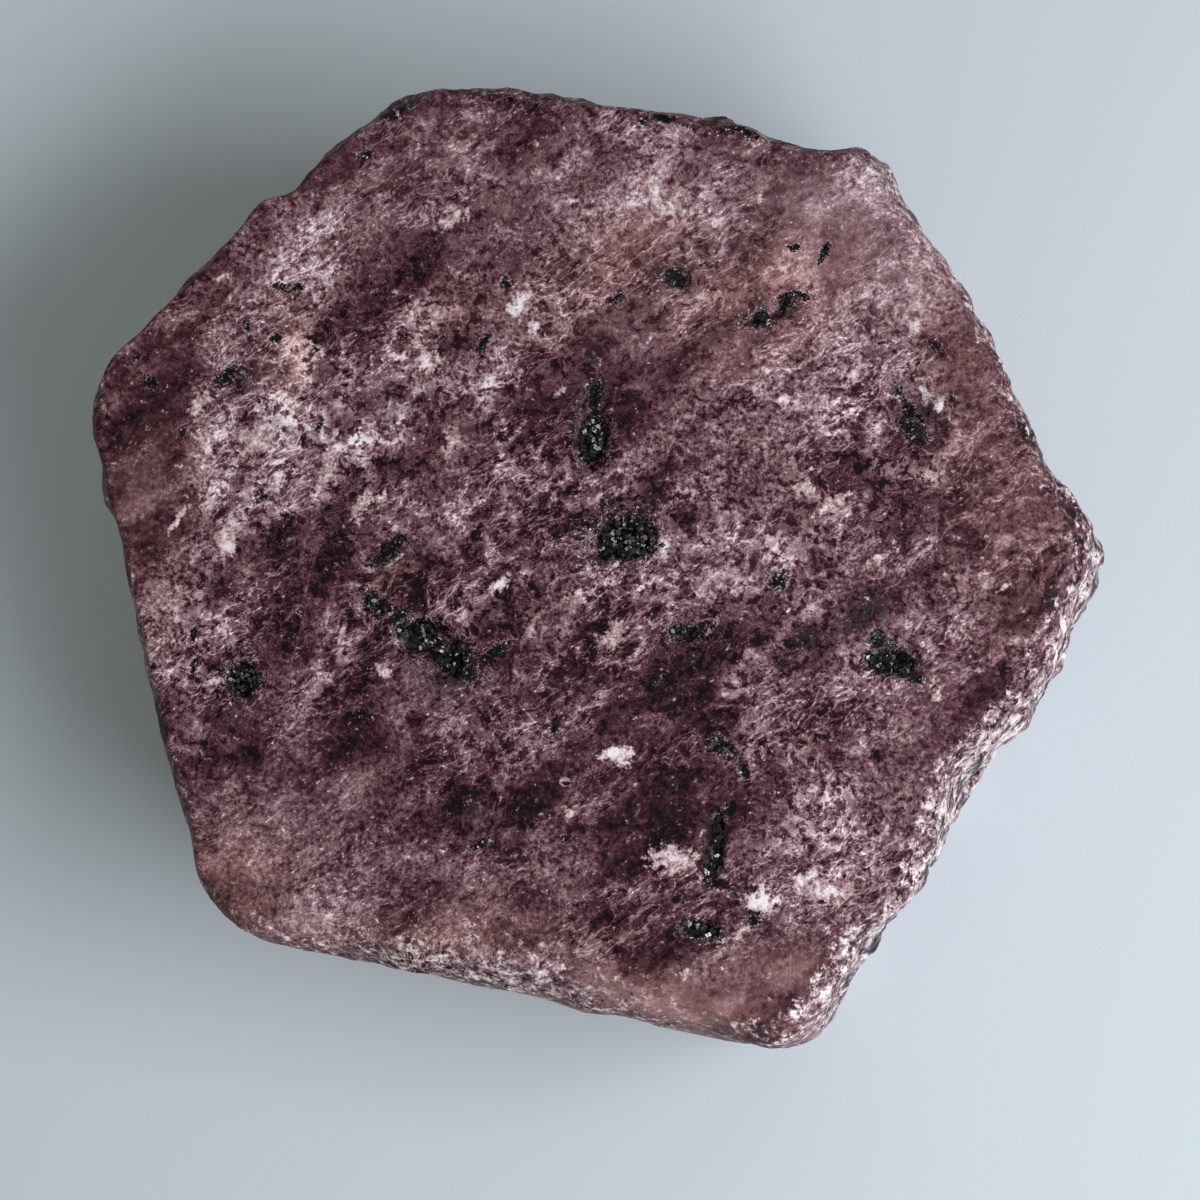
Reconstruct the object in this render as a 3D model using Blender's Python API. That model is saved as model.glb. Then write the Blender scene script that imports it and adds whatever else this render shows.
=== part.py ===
"""Ruby crystal: one raw six-sided corundum crystal, sawn flat across both ends.

The body is a loft. One rounded six-sided outline is repeated at many depths, and at each depth it is
drawn in by the broken rim, the growth ledges and the lumps of the natural sides. Its two ends are flat.
The places where black mica has broken out of the sawn top are then cut into it as shallow pits.
Lengths are millimetres until they become mesh points.
"""

import itertools
import math

import bmesh
import bpy
import numpy as np
from mathutils import Matrix, Vector

MM = 0.001
NAME = "ruby_crystal"

# Driving dimensions.
HEIGHT = 18.0  # between the two sawn faces
AROUND = 156  # points round each section

# The corners of the widest section, anticlockwise: place x, y and rounding radius.
CORNERS = {
    "west": (-27.6, 10.3, 4.4),
    "south_west": (-20.0, -19.6, 5.6),
    "south": (11.5, -26.4, 2.8),
    "east": (27.7, -0.8, 4.2),
    "north_east": (16.2, 21.4, 2.6),
    "north_west": (-8.6, 26.5, 2.6),
}

# A station is a corner's number in CORNERS plus the share of the way to the next corner.
# Swellings and hollows of the sides: station, half width in stations, and how far out in mm.
SWELLINGS = (
    (0.15, 0.15, 0.25),
    (2.38, 0.20, 0.70),
    (2.72, 0.22, 0.55),
    (3.10, 0.12, 0.35),
    (3.58, 0.24, 0.40),
    (4.60, 0.38, 0.65),
    (5.38, 0.06, -0.40),
    (5.45, 0.46, 1.20),
)

# The rim and foot at some stations: rim inset, rim depth and foot inset in mm.
EDGES = (
    (0.0, 0.5, 1.4, 1.6),
    (0.5, 0.4, 1.2, 2.0),
    (1.0, 0.7, 1.4, 2.4),
    (1.4, 1.3, 2.2, 1.8),
    (1.7, 1.7, 2.8, 1.6),
    (1.9, 1.5, 2.4, 2.2),
    (2.2, 0.5, 1.6, 3.6),
    (2.45, 0.8, 2.6, 3.0),
    (2.75, 0.8, 2.4, 2.6),
    (3.0, 0.9, 2.2, 3.0),
    (3.4, 0.8, 1.6, 2.2),
    (4.0, 0.6, 1.5, 2.4),
    (4.5, 0.4, 1.2, 2.2),
    (5.0, 0.5, 1.2, 2.6),
    (5.5, 0.4, 1.2, 2.0),
)
RIM_SHARES = (0.0, 0.14, 0.45, 1.0)  # how deep the sections of the rim lie, as shares of its depth
RIM_POWER = 1.7  # roundness of the rim
FOOT_POWER = 1.8  # roundness of the foot

# Growth ledges, where the side steps in and then grows out again down to the next.
LEDGES = (4.2, 7.0, 9.6, 12.4, 15.0)  # depths
LEDGE_STEP = 0.7  # greatest step
LEDGE_DROP = 0.4  # height of the step's own slope
LEDGE_REST = 1.5  # depth of one more section below each step
LEDGE_STRENGTH = (0.4, 1.2, 8.0, 50)  # share everywhere, share that varies, its size in mm and seed
COLLAR_DEPTH = 3.0  # section between the rim and the first ledge
FOOT_DEPTH = 17.3  # section just above the lower face

# What strays round the crystal: amount, size in mm and seed.
WANDER = (1.1, 7.0, 23)  # a ledge's depth, in mm
CHIPPING = (0.7, 2.3, 21)  # the rim's inset, as a share of it
CHIP_DEPTH = (0.35, 3.1, 22)  # the rim's depth, as a share of it
LUMPS = ((0.40, 9.0, 11), (0.28, 4.0, 12), (0.20, 1.9, 13))  # the sides, in mm
LATTICE = 32  # cells after which the lump noise repeats

# Pits left by black mica in the sawn top: x, y, half length, half width, depth and turn in degrees.
PITS = {
    "middle": (2.5, 0.7, 2.0, 1.3, 0.7, 10),
    "upper": (0.8, 6.1, 1.5, 0.9, 0.6, 80),
    "left_middle": (-7.9, -5.0, 2.4, 1.3, 0.8, -35),
    "left_blob": (-11.0, -2.5, 0.9, 0.7, 0.5, 0),
    "left": (-18.4, -6.2, 1.1, 0.9, 0.7, 110),
    "bar": (10.8, 12.7, 1.5, 0.55, 0.5, 22),
    "top": (5.3, 14.7, 1.0, 0.7, 0.5, -20),
    "right": (17.9, 7.6, 1.5, 1.1, 0.5, 120),
    "slot": (6.1, -4.5, 1.2, 0.55, 0.4, 10),
    "triangle": (17.0, -6.0, 1.8, 1.1, 0.7, -25),
    "lower": (8.0, -10.9, 0.9, 0.7, 0.5, -30),
    "upright": (7.3, -16.0, 1.9, 0.6, 0.6, 80),
    "bottom": (6.6, -20.4, 1.1, 0.7, 0.6, 5),
}
PIT_ROUGHNESS = (0.25, 0.55, 31)  # share of a pit's size by which its wall strays, size and seed


def lump_noise(points, size, seed):
    """Smooth noise from -1 to 1: a random number at each corner of a cubic lattice with this spacing,
    blended between the corners by the curve 3t^2 - 2t^3."""
    lattice = np.random.default_rng(seed).uniform(-1, 1, (LATTICE, LATTICE, LATTICE))
    place = points / size + LATTICE
    cell = np.floor(place).astype(int)
    blend = place - cell
    blend = blend * blend * (3 - 2 * blend)
    total = np.zeros(len(points))
    for corner in itertools.product((0, 1), repeat=3):
        share = np.prod(np.where(corner, blend, 1 - blend), axis=1)
        i, j, k = ((cell + corner) % LATTICE).T
        total += share * lattice[i, j, k]
    return total


def straying(points, rule):
    """Lump noise of a given amount, size and seed."""
    amount, size, seed = rule
    return amount * lump_noise(points, size, seed)


def corner_arc(number, steps=12):
    """A corner's rounding: points on an arc that touches both sides, and the station of each."""
    places = [Vector(place[:2]) for place in CORNERS.values()]
    radius = list(CORNERS.values())[number][2]
    corner = places[number]
    before = places[number - 1] - corner
    after = places[(number + 1) % len(places)] - corner
    half_angle = before.angle(after) / 2
    tangent = radius / math.tan(half_angle)
    inward = (before.normalized() + after.normalized()).normalized()
    centre = corner + inward * radius / math.sin(half_angle)
    start = corner + before.normalized() * tangent - centre
    for step in range(steps + 1):
        share = step / steps
        turned = Matrix.Rotation((math.pi - 2 * half_angle) * share, 2) @ start
        reach = tangent * (2 * share - 1)
        side = before.length if reach < 0 else after.length
        yield (*(centre + turned), number + reach / side)


def outline():
    """Equal steps round the widest section: the points, for each the move that carries its side out by
    1 mm without closing up a corner, and the stations."""
    dense = np.array([row for number in range(len(CORNERS)) for row in corner_arc(number)])
    dense = np.vstack((dense, dense[0] + (0, 0, len(CORNERS))))
    walked = np.concatenate(([0], np.cumsum(np.hypot(*np.diff(dense[:, :2], axis=0).T))))
    at = np.arange(AROUND) * walked[-1] / AROUND
    x, y, station = (np.interp(at, walked, column) for column in dense.T)
    points = np.column_stack((x, y))
    along = np.roll(points, -1, axis=0) - np.roll(points, 1, axis=0)
    normals = np.column_stack((along[:, 1], -along[:, 0])) / np.hypot(*along.T)[:, None]
    outward = points / np.sum(points * normals, axis=1)[:, None]
    return points, outward, station % len(CORNERS)


def swelling(station):
    """How far the sides stand out from the straight outline: a smooth hump or hollow for each entry."""
    total = np.zeros(len(station))
    half_round = len(CORNERS) / 2
    for place, half_width, height in SWELLINGS:
        away = (station - place + half_round) % len(CORNERS) - half_round
        total += height * np.clip(1 - (away / half_width) ** 2, 0, 1) ** 2
    return total


def edge_values(station):
    """The rim inset, rim depth and foot inset, read off between the stations of EDGES."""
    places, *columns = zip(*EDGES)
    return [np.interp(station, places, column, period=len(CORNERS)) for column in columns]


def ledge_inset(around, level):
    """How far the ledges draw in the section at this level: a step whose size varies round the crystal,
    then a slope that is back out at the next ledge."""
    total = np.zeros(len(around))
    everywhere, varies, size, seed = LEDGE_STRENGTH
    for number, (place, following) in enumerate(zip(LEDGES, (*LEDGES[1:], HEIGHT))):
        if place < level < following:
            strength = np.clip(everywhere + varies * lump_noise(around, size, seed + number), 0, 1)
            below = level - place
            grown_back = below / (following - place)
            total += LEDGE_STEP * strength * min(1, below / LEDGE_DROP) * (1 - grown_back)
    return total


def section_depths(rim_depth, wander):
    """The sections from the top down: each section's depth at every point, and its level, which is the
    depth that it would have if the ledges ran level."""
    for share in RIM_SHARES:
        yield share * rim_depth, 0.0
    steps = [place + offset for place in LEDGES for offset in (0, LEDGE_DROP, LEDGE_REST)]
    for level in [COLLAR_DEPTH, *steps, FOOT_DEPTH, HEIGHT]:
        yield level + wander * math.sin(math.pi * level / HEIGHT), level


def crystal_sections():
    """All sections of the loft, as an array of section, point and x, y, z."""
    points, outward, station = outline()
    around = np.column_stack((points, np.zeros(len(points))))
    rim_inset, rim_depth, foot_inset = edge_values(station)
    rim_inset = rim_inset * (1 + straying(around, CHIPPING))
    rim_depth = rim_depth * (1 + straying(around, CHIP_DEPTH))
    sections = []
    for depth, level in section_depths(rim_depth, straying(around, WANDER)):
        place = np.column_stack((points, HEIGHT - depth))
        above = np.clip(1 - depth / rim_depth, 0, 1)
        below = np.clip((depth - rim_depth) / (HEIGHT - rim_depth), 0, 1)
        out = swelling(station) - rim_inset * above**RIM_POWER - foot_inset * below**FOOT_POWER
        out += sum(straying(place, rule) for rule in LUMPS) - ledge_inset(around, level)
        sections.append(np.column_stack((points + outward * out[:, None], HEIGHT - depth)))
    return np.array(sections)


def crystal_body(collection):
    """A loft of the sections, closed by its two flat sawn faces."""
    sections = crystal_sections()
    last = len(sections) - 1
    faces = [tuple(range(AROUND)), tuple(reversed(range(last * AROUND, (last + 1) * AROUND)))]
    for ring, place in itertools.product(range(last), range(AROUND)):
        upper, beside = ring * AROUND + place, ring * AROUND + (place + 1) % AROUND
        faces.append((upper, upper + AROUND, beside + AROUND, beside))
    mesh = bpy.data.meshes.new(NAME)
    mesh.from_pydata((sections.reshape(-1, 3) * MM).tolist(), [], faces)
    mesh.shade_smooth()
    mesh.set_sharp_from_angle(angle=math.radians(35))
    body = bpy.data.objects.new(NAME, mesh)
    collection.objects.link(body)
    return body


def mica_pit(name, pit, collection):
    """A rough lens, half sunk in the sawn top, that cuts the pit where a mica book broke out."""
    x, y, half_length, half_width, depth, turn = pit
    lens = bmesh.new()
    bmesh.ops.create_icosphere(lens, subdivisions=2, radius=1)
    rough = straying(np.array([vertex.co for vertex in lens.verts]) + (x, y, 0), PIT_ROUGHNESS)
    for vertex, share in zip(lens.verts, rough):
        vertex.co *= 1 + share
    size = Matrix.Diagonal((half_length, half_width, depth, 1))
    stand = Matrix.Translation((x, y, HEIGHT)) @ Matrix.Rotation(math.radians(turn), 4, "Z") @ size
    lens.transform(Matrix.Scale(MM, 4) @ stand)
    mesh = bpy.data.meshes.new(name)
    lens.to_mesh(mesh)
    lens.free()
    cutter = bpy.data.objects.new(name, mesh)
    cutter.hide_render = True
    cutter.display_type = "WIRE"
    collection.objects.link(cutter)


def ruby_material():
    """Raw corundum: matt, mauve red and nearly opaque."""
    material = bpy.data.materials.new("raw_ruby")
    material.use_nodes = True
    surface = material.node_tree.nodes["Principled BSDF"]
    surface.inputs["Base Color"].default_value = (0.165, 0.082, 0.095, 1)
    surface.inputs["Roughness"].default_value = 0.6
    surface.inputs["Metallic"].default_value = 0.0
    return material


def main():
    for old in list(bpy.data.objects):
        bpy.data.objects.remove(old)
    parts = bpy.data.collections.new(NAME)
    cutters = bpy.data.collections.new("mica_pits")
    for collection in (parts, cutters):
        bpy.context.scene.collection.children.link(collection)
    body = crystal_body(parts)
    body.data.materials.append(ruby_material())
    for name, pit in PITS.items():
        mica_pit("pit_" + name, pit, cutters)
    carve = body.modifiers.new("mica pits", "BOOLEAN")
    carve.operation = "DIFFERENCE"
    carve.solver = "EXACT"
    carve.operand_type = "COLLECTION"
    carve.collection = cutters


main()
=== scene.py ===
"""Raw ruby crystal, dressed: its sawn and natural faces, the mica books in its pits, its crust and studio.

The crystal is one closed surface round the CAD solid's own sections, worked out again at a finer step.
Lengths are millimetres until they become mesh points, in the CAD frame: +Z up through both sawn faces.
"""

import functools
import itertools
import math

import bpy
import numpy as np
from bpy.props import FloatProperty, FloatVectorProperty, PointerProperty
from mathutils import Matrix, Vector


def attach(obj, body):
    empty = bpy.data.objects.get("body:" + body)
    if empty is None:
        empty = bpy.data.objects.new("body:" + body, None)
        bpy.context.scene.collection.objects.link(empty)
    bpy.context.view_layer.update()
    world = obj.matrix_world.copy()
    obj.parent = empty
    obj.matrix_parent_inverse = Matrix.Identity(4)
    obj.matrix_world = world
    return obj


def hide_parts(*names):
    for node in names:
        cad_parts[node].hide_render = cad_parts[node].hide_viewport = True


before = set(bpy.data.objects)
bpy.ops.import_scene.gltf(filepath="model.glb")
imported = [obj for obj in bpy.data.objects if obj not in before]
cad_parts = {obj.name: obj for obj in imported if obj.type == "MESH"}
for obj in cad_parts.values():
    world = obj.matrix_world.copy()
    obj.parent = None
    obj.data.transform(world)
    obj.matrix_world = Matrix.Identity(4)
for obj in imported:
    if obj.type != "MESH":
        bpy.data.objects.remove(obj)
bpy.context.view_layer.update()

bl_info = {
    "name": "Ruby crystal",
    "version": (1, 0, 0),
    "blender": (4, 5, 0),
    "location": "View3D > Sidebar > Ruby crystal",
    "description": "Builds a raw six-sided ruby crystal with mica, feldspar and crust, and a studio for it",
    "category": "Object",
}

MM = 0.001
NODE = "ruby_crystal"

# ---------------------------------------------------------------- sizes that the CAD solid also has
HEIGHT = 18.0  # between the two sawn faces

# The corners of the widest section, anticlockwise: place x, y and rounding radius.
CORNERS = {
    "west": (-27.6, 10.3, 4.4),
    "south_west": (-20.0, -19.6, 5.6),
    "south": (11.5, -26.4, 2.8),
    "east": (27.7, -0.8, 4.2),
    "north_east": (16.2, 21.4, 2.6),
    "north_west": (-8.6, 26.5, 2.6),
}
SIDES = len(CORNERS)

# A station is a corner's number in CORNERS plus the share of the way to the next corner.
# Swellings and hollows of the sides: station, half width in stations, and how far out in mm.
SWELLINGS = (
    (0.15, 0.15, 0.25),
    (2.38, 0.20, 0.70),
    (2.72, 0.22, 0.55),
    (3.10, 0.12, 0.35),
    (3.58, 0.24, 0.40),
    (4.60, 0.38, 0.65),
    (5.38, 0.06, -0.40),
    (5.45, 0.46, 1.20),
)

# The rim and foot at some stations: rim inset, rim depth and foot inset in mm, and how broken up it is.
# The CAD solid has no last column, and its rim insets at stations 1.4, 1.7 and 1.9 are up to 0.5 mm larger.
EDGES = (
    (0.0, 0.5, 1.4, 1.6, 0.9),
    (0.5, 0.4, 1.2, 2.0, 0.8),
    (1.0, 0.7, 1.4, 2.4, 0.5),
    (1.4, 1.2, 2.2, 1.8, 0.3),
    (1.7, 1.4, 2.8, 1.6, 0.3),
    (1.9, 1.0, 2.4, 2.2, 0.3),
    (2.2, 0.5, 1.6, 3.6, 0.8),
    (2.45, 0.8, 2.6, 3.0, 1.0),
    (2.75, 0.8, 2.4, 2.6, 1.0),
    (3.0, 0.9, 2.2, 3.0, 0.9),
    (3.4, 0.8, 1.6, 2.2, 0.7),
    (4.0, 0.6, 1.5, 2.4, 0.8),
    (4.5, 0.4, 1.2, 2.2, 0.9),
    (5.0, 0.5, 1.2, 2.6, 1.0),
    (5.5, 0.4, 1.2, 2.0, 1.0),
)
RIM_POWER = 1.7  # roundness of the rim
FOOT_POWER = 1.8  # roundness of the foot

# Growth ledges, where the side steps in and then grows out again down to the next.
LEDGES = (4.2, 7.0, 9.6, 12.4, 15.0)  # depths
LEDGE_STEP = 0.7  # greatest step
LEDGE_DROP = 0.4  # height of the step's own slope
LEDGE_STRENGTH = (0.4, 1.2, 8.0, 50)  # share everywhere, share that varies, its size in mm and seed

# What strays round the crystal: amount, size in mm and seed.
WANDER = (1.1, 7.0, 23)  # a ledge's depth, in mm
CHIPPING = (0.7, 2.3, 21)  # the rim's inset, as a share of it
CHIP_DEPTH = (0.35, 3.1, 22)  # the rim's depth, as a share of it
LUMPS = ((0.40, 9.0, 11), (0.28, 4.0, 12), (0.20, 1.9, 13))  # the sides, in mm
LATTICE = 32  # cells after which the lump noise repeats

# Pits where black mica broke out: x, y, half length, half width, depth and turn in degrees.
PITS = {
    "middle": (2.5, 0.7, 2.0, 1.3, 0.7, 10),
    "upper": (0.8, 6.1, 1.5, 0.9, 0.6, 80),
    "left_middle": (-7.9, -5.0, 2.4, 1.3, 0.8, -35),
    "left_blob": (-11.0, -2.5, 0.9, 0.7, 0.5, 0),
    "left": (-18.4, -6.2, 1.1, 0.9, 0.7, 110),
    "bar": (10.8, 12.7, 1.5, 0.55, 0.5, 22),
    "top": (5.3, 14.7, 1.0, 0.7, 0.5, -20),
    "right": (17.9, 7.6, 1.5, 1.1, 0.5, 120),
    "slot": (6.1, -4.5, 1.2, 0.55, 0.4, 10),
    "triangle": (17.0, -6.0, 1.8, 1.1, 0.7, -25),
    "lower": (8.0, -10.9, 0.9, 0.7, 0.5, -30),
    "upright": (7.3, -16.0, 1.9, 0.6, 0.6, 80),
    "bottom": (6.6, -20.4, 1.1, 0.7, 0.6, 5),
}

# ---------------------------------------------------------------- the fine surface
CAP_STEPS = 212  # grid steps across the sawn top; its edge has four times as many points
RIM_ROWS = 14  # rows of points down the rounded rim
SIDE_ROWS = 36  # rows from the rim to the foot
FOOT_RINGS = 10  # rings across the lower face
RIM_CROWDING = 1.3  # above 1, the rim's rows crowd towards the sawn face

# Finer relief: amount in mm, size in mm and seed.
SIDE_ROUGHNESS = ((0.11, 0.95, 61), (0.07, 0.5, 62))
TERRACES = (0.34, 1.9, 63)  # flat flakes of crust that step in
TERRACE_LEVELS = 4
TOP_WAVES = ((0.035, 5.0, 64), (0.02, 0.9, 65))  # hollows of the sawn face, which never stand above it
PATCH_DEPTH = 0.7  # how far down the sides a patch of the sawn face reaches
FACET = (0.55, 0.28)  # spacing of a pit floor's facets in mm, and their steepest slope

# ---------------------------------------------------------------- what lies in the sawn face
# Black mica: x, y, half length, half width in mm, turn in degrees.
MICA = (
    (2.4, 0.9, 1.4, 1.3, 0),
    (1.5, -0.1, 0.8, 0.5, 55),
    (3.5, 0.4, 0.8, 0.6, 0),
    (0.8, 6.1, 1.3, 0.85, 95),
    (1.0, 8.3, 1.1, 0.35, 85),
    (-10.9, -2.4, 0.8, 0.5, -35),
    (-9.6, -3.5, 0.9, 0.4, -50),
    (-8.2, -4.4, 1.2, 0.75, -10),
    (-6.7, -5.4, 1.3, 0.8, -25),
    (-5.6, -6.4, 0.7, 0.4, -60),
    (-4.6, -5.2, 1.0, 0.25, 30),
    (-10.2, 0.4, 1.35, 0.3, 35),
    (-18.3, -6.2, 1.1, 0.9, 110),
    (-20.8, -3.9, 0.5, 0.22, 70),
    (-20.7, -5.7, 0.6, 0.22, 60),
    (-18.3, -2.1, 0.35, 0.15, 10),
    (-11.5, -8.3, 0.5, 0.28, -20),
    (9.9, 12.3, 0.8, 0.42, 10),
    (11.5, 13.1, 1.1, 0.3, 28),
    (5.5, 14.7, 0.85, 0.5, -35),
    (2.2, 13.8, 0.5, 0.33, 15),
    (11.9, 16.1, 0.4, 0.17, 10),
    (13.4, 15.7, 0.45, 0.22, 80),
    (-3.8, 14.7, 0.28, 0.22, 0),
    (-7.6, 11.9, 0.45, 0.12, 20),
    (-5.0, 11.5, 0.45, 0.25, 60),
    (18.0, 6.0, 0.75, 0.5, 105),
    (17.1, 8.3, 0.35, 0.3, 0),
    (-10.3, 24.7, 1.9, 0.3, 25),
    (5.0, 23.4, 1.5, 0.25, -14),
    (9.2, 22.4, 1.2, 0.25, -20),
    (18.2, 17.6, 1.4, 0.22, -57),
    (17.6, 7.2, 0.6, 0.25, 110),
    (20.0, 7.5, 0.35, 0.15, 100),
    (19.1, 10.5, 0.35, 0.2, 0),
    (6.0, -4.3, 1.35, 0.42, 18),
    (10.9, -1.8, 0.6, 0.3, 60),
    (16.2, -5.2, 0.55, 0.35, -60),
    (16.2, -6.3, 0.9, 0.6, 0),
    (17.2, -6.3, 0.9, 0.55, -35),
    (18.1, -7.0, 0.6, 0.25, -35),
    (7.9, -10.6, 0.75, 0.45, -20),
    (8.8, -11.8, 0.6, 0.22, -60),
    (7.6, -15.0, 0.9, 0.35, 80),
    (7.3, -16.4, 1.1, 0.45, 75),
    (7.9, -17.8, 0.8, 0.3, -30),
    (6.4, -20.2, 1.0, 0.5, 0),
    (9.4, -19.5, 0.8, 0.3, 30),
    (12.6, -14.1, 0.25, 0.18, 0),
    (-5.2, -15.4, 0.5, 0.25, 10),
    (-1.1, -9.2, 0.7, 0.25, 80),
    (-16.2, 15.2, 0.5, 0.33, -20),
    (-15.3, 15.2, 0.28, 0.2, 0),
    (-18.8, 13.9, 0.3, 0.15, 0),
    (-18.3, 13.1, 0.2, 0.15, 0),
    (-16.7, 12.3, 0.3, 0.22, 80),
    (-14.2, 13.6, 0.22, 0.15, 0),
    (-23.6, 10.2, 0.65, 0.25, -45),
    (-24.4, 11.4, 0.5, 0.12, 20),
    (-19.2, 10.4, 0.7, 0.38, 20),
    (-17.5, 9.1, 0.25, 0.22, 0),
    (-21.9, 7.3, 0.22, 0.3, 0),
    (-14.3, 7.5, 0.28, 0.2, -40),
    (-17.4, 3.4, 0.45, 0.18, 10),
    (-11.6, 22.3, 0.4, 0.25, 0),
    (4.4, -7.0, 0.25, 0.12, 70),
    (-0.4, -12.5, 0.25, 0.12, 0),
    (-0.5, -15.3, 0.2, 0.2, 0),
    (0.3, -18.6, 0.3, 0.15, 0),
    (-1.8, -22.9, 0.45, 0.32, 0),
    (14.7, -22.3, 0.3, 0.2, 45),
)

# Dark grey-green haze of fine mica round the books: x, y, half length, half width, turn, strength.
HAZE = (
    (0.7, 8.8, 2.2, 1.0, 85, 0.8),
    (2.4, 0.8, 2.6, 1.9, 15, 0.7),
    (-7.3, -6.1, 2.6, 1.6, -30, 0.8),
    (-9.6, 0.3, 2.2, 0.9, 35, 0.6),
    (-9.2, 8.8, 2.6, 0.8, 45, 0.5),
    (-19.0, 10.4, 1.2, 0.8, 20, 0.6),
    (11.0, -2.0, 1.0, 1.2, 60, 0.5),
    (15.5, -3.8, 2.2, 1.0, 20, 0.8),
    (18.4, 7.3, 1.8, 1.5, 110, 0.6),
    (6.0, -4.3, 2.0, 0.9, 15, 0.6),
    (9.8, -19.3, 1.5, 0.9, 0, 0.7),
    (7.6, -15.5, 1.8, 0.9, 80, 0.4),
    (-5.0, -14.4, 0.9, 1.2, 0, 0.5),
    (5.4, 14.7, 1.4, 1.0, -35, 0.5),
    (-4.6, 11.9, 1.6, 0.8, 20, 0.4),
    (-9.2, 25.0, 1.3, 0.7, 20, 0.8),
    (-1.0, -9.4, 1.0, 0.7, 80, 0.5),
    (2.5, 12.0, 2.0, 0.8, 25, 0.3),
    (13.0, -4.6, 2.4, 0.8, 35, 0.7),
    (15.1, -2.7, 1.3, 0.5, 15, 0.6),
    (17.0, -3.0, 1.0, 0.4, -10, 0.6),
    (17.1, 19.5, 1.3, 0.8, -40, 0.8),
    (18.8, 16.6, 1.2, 0.4, -50, 0.6),
    (17.5, 6.8, 1.0, 1.4, 20, 0.4),
)

# White and pale pink feldspar: x, y, half length, half width, turn, whiteness.
FELDSPAR = (
    (10.0, -18.6, 0.75, 0.6, -20, 1.0),
    (8.8, -20.2, 0.7, 0.3, 50, 0.8),
    (2.1, -11.0, 0.9, 0.42, 10, 1.0),
    (5.1, -16.5, 1.15, 0.65, 5, 0.55),
    (13.3, -18.2, 1.3, 0.6, -8, 0.6),
    (12.2, -17.6, 0.6, 0.4, 30, 0.7),
    (22.5, -9.1, 0.7, 0.35, 20, 0.6),
    (22.7, -2.4, 0.5, 0.15, 30, 0.8),
    (11.4, -3.4, 0.35, 0.2, 0, 0.6),
    (12.1, -2.6, 0.35, 0.15, 50, 0.5),
    (16.0, -1.0, 0.5, 0.25, 30, 0.5),
    (5.8, -22.6, 0.5, 0.3, 20, 0.6),
    (4.3, 19.7, 0.6, 0.8, 0, 0.7),
    (5.4, 18.8, 0.8, 0.5, 30, 0.5),
    (9.7, 18.7, 0.5, 0.35, 0, 0.5),
    (11.1, 7.9, 0.3, 0.55, 10, 0.8),
    (18.4, 11.5, 0.7, 0.3, 60, 0.5),
    (14.8, 8.9, 0.75, 0.18, 55, 0.6),
    (18.9, 7.9, 0.7, 0.35, 110, 0.8),
    (19.5, 7.2, 0.5, 0.2, 80, 0.7),
    (12.3, 3.1, 0.6, 0.35, 20, 0.6),
    (13.5, 2.1, 1.0, 0.35, 25, 0.5),
    (0.6, 18.5, 0.5, 0.4, 0, 0.5),
    (-21.0, 9.0, 0.85, 0.5, 65, 0.6),
    (-20.4, 6.6, 0.42, 0.3, 70, 1.0),
    (-20.6, 5.7, 0.25, 0.25, 0, 0.8),
    (-19.3, 14.7, 0.22, 0.2, 0, 0.9),
    (-19.6, 16.0, 0.7, 0.15, 20, 0.6),
    (-8.1, 10.8, 0.7, 0.7, 0, 0.7),
    (-10.6, 3.5, 0.42, 0.35, -30, 1.0),
    (-11.8, 2.9, 0.9, 0.5, 60, 0.6),
    (-19.1, 1.3, 1.1, 0.45, 80, 0.7),
    (-21.9, 2.6, 0.8, 0.2, 60, 0.7),
    (-13.6, 6.0, 0.9, 0.25, 70, 0.6),
    (-17.5, 6.8, 1.3, 0.6, 40, 0.55),
    (-7.0, 6.2, 0.75, 0.35, 80, 0.5),
    (-3.3, 13.7, 0.75, 0.5, 30, 0.8),
    (-2.2, 12.4, 0.4, 0.3, 0, 0.7),
    (-1.0, 8.8, 0.5, 0.25, 50, 0.5),
    (-7.0, 18.5, 1.0, 0.35, 20, 0.4),
    (-1.0, 19.0, 0.8, 0.3, 20, 0.4),
    (-2.2, 22.4, 0.4, 0.25, 20, 0.4),
    (-6.2, 22.6, 0.4, 0.2, 20, 0.4),
    (-10.4, 20.0, 0.5, 0.25, 30, 0.4),
    (-19.6, -6.6, 0.5, 0.18, 0, 0.7),
    (-4.2, -1.7, 0.25, 0.35, 0, 0.7),
    (-11.3, -0.5, 0.4, 0.25, 0, 0.6),
    (-10.3, -6.1, 0.4, 0.25, 0, 0.5),
    (-12.6, -4.0, 0.6, 0.2, 70, 0.4),
    (-17.4, -15.9, 0.6, 0.15, 40, 0.5),
    (-7.0, -19.8, 0.5, 0.2, 0, 0.5),
    (-0.5, -13.7, 0.3, 0.2, 0, 0.6),
    (4.6, 0.2, 0.35, 0.65, 20, 0.9),
    (-9.9, 0.0, 0.5, 0.12, 35, 0.9),
    (7.1, -4.4, 0.4, 0.25, 20, 0.8),
    (16.6, -5.7, 0.9, 0.12, -60, 0.8),
    (7.3, -20.6, 0.4, 0.3, 20, 0.8),
    (14.5, 12.6, 0.4, 0.2, 20, 0.4),
    (16.1, 20.1, 0.7, 0.3, -35, 0.8),
    (18.0, 17.9, 0.4, 1.0, 25, 0.4),
    (21.8, -2.4, 0.5, 0.4, 0, 0.2),
    (15.9, -0.9, 0.35, 0.25, 0, 0.6),
    (19.2, -7.9, 0.3, 0.5, 10, 0.6),
    (4.5, 0.1, 0.35, 0.6, 20, 0.9),
    (2.0, -4.6, 0.8, 0.6, 30, 0.35),
    (-4.2, -1.8, 0.3, 0.5, -30, 0.8),
    (-0.1, -2.2, 0.45, 0.25, 20, 0.5),
    (-13.6, 4.6, 0.3, 0.8, -15, 0.6),
    (-0.5, -12.4, 0.3, 0.3, 0, 0.3),
)

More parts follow.
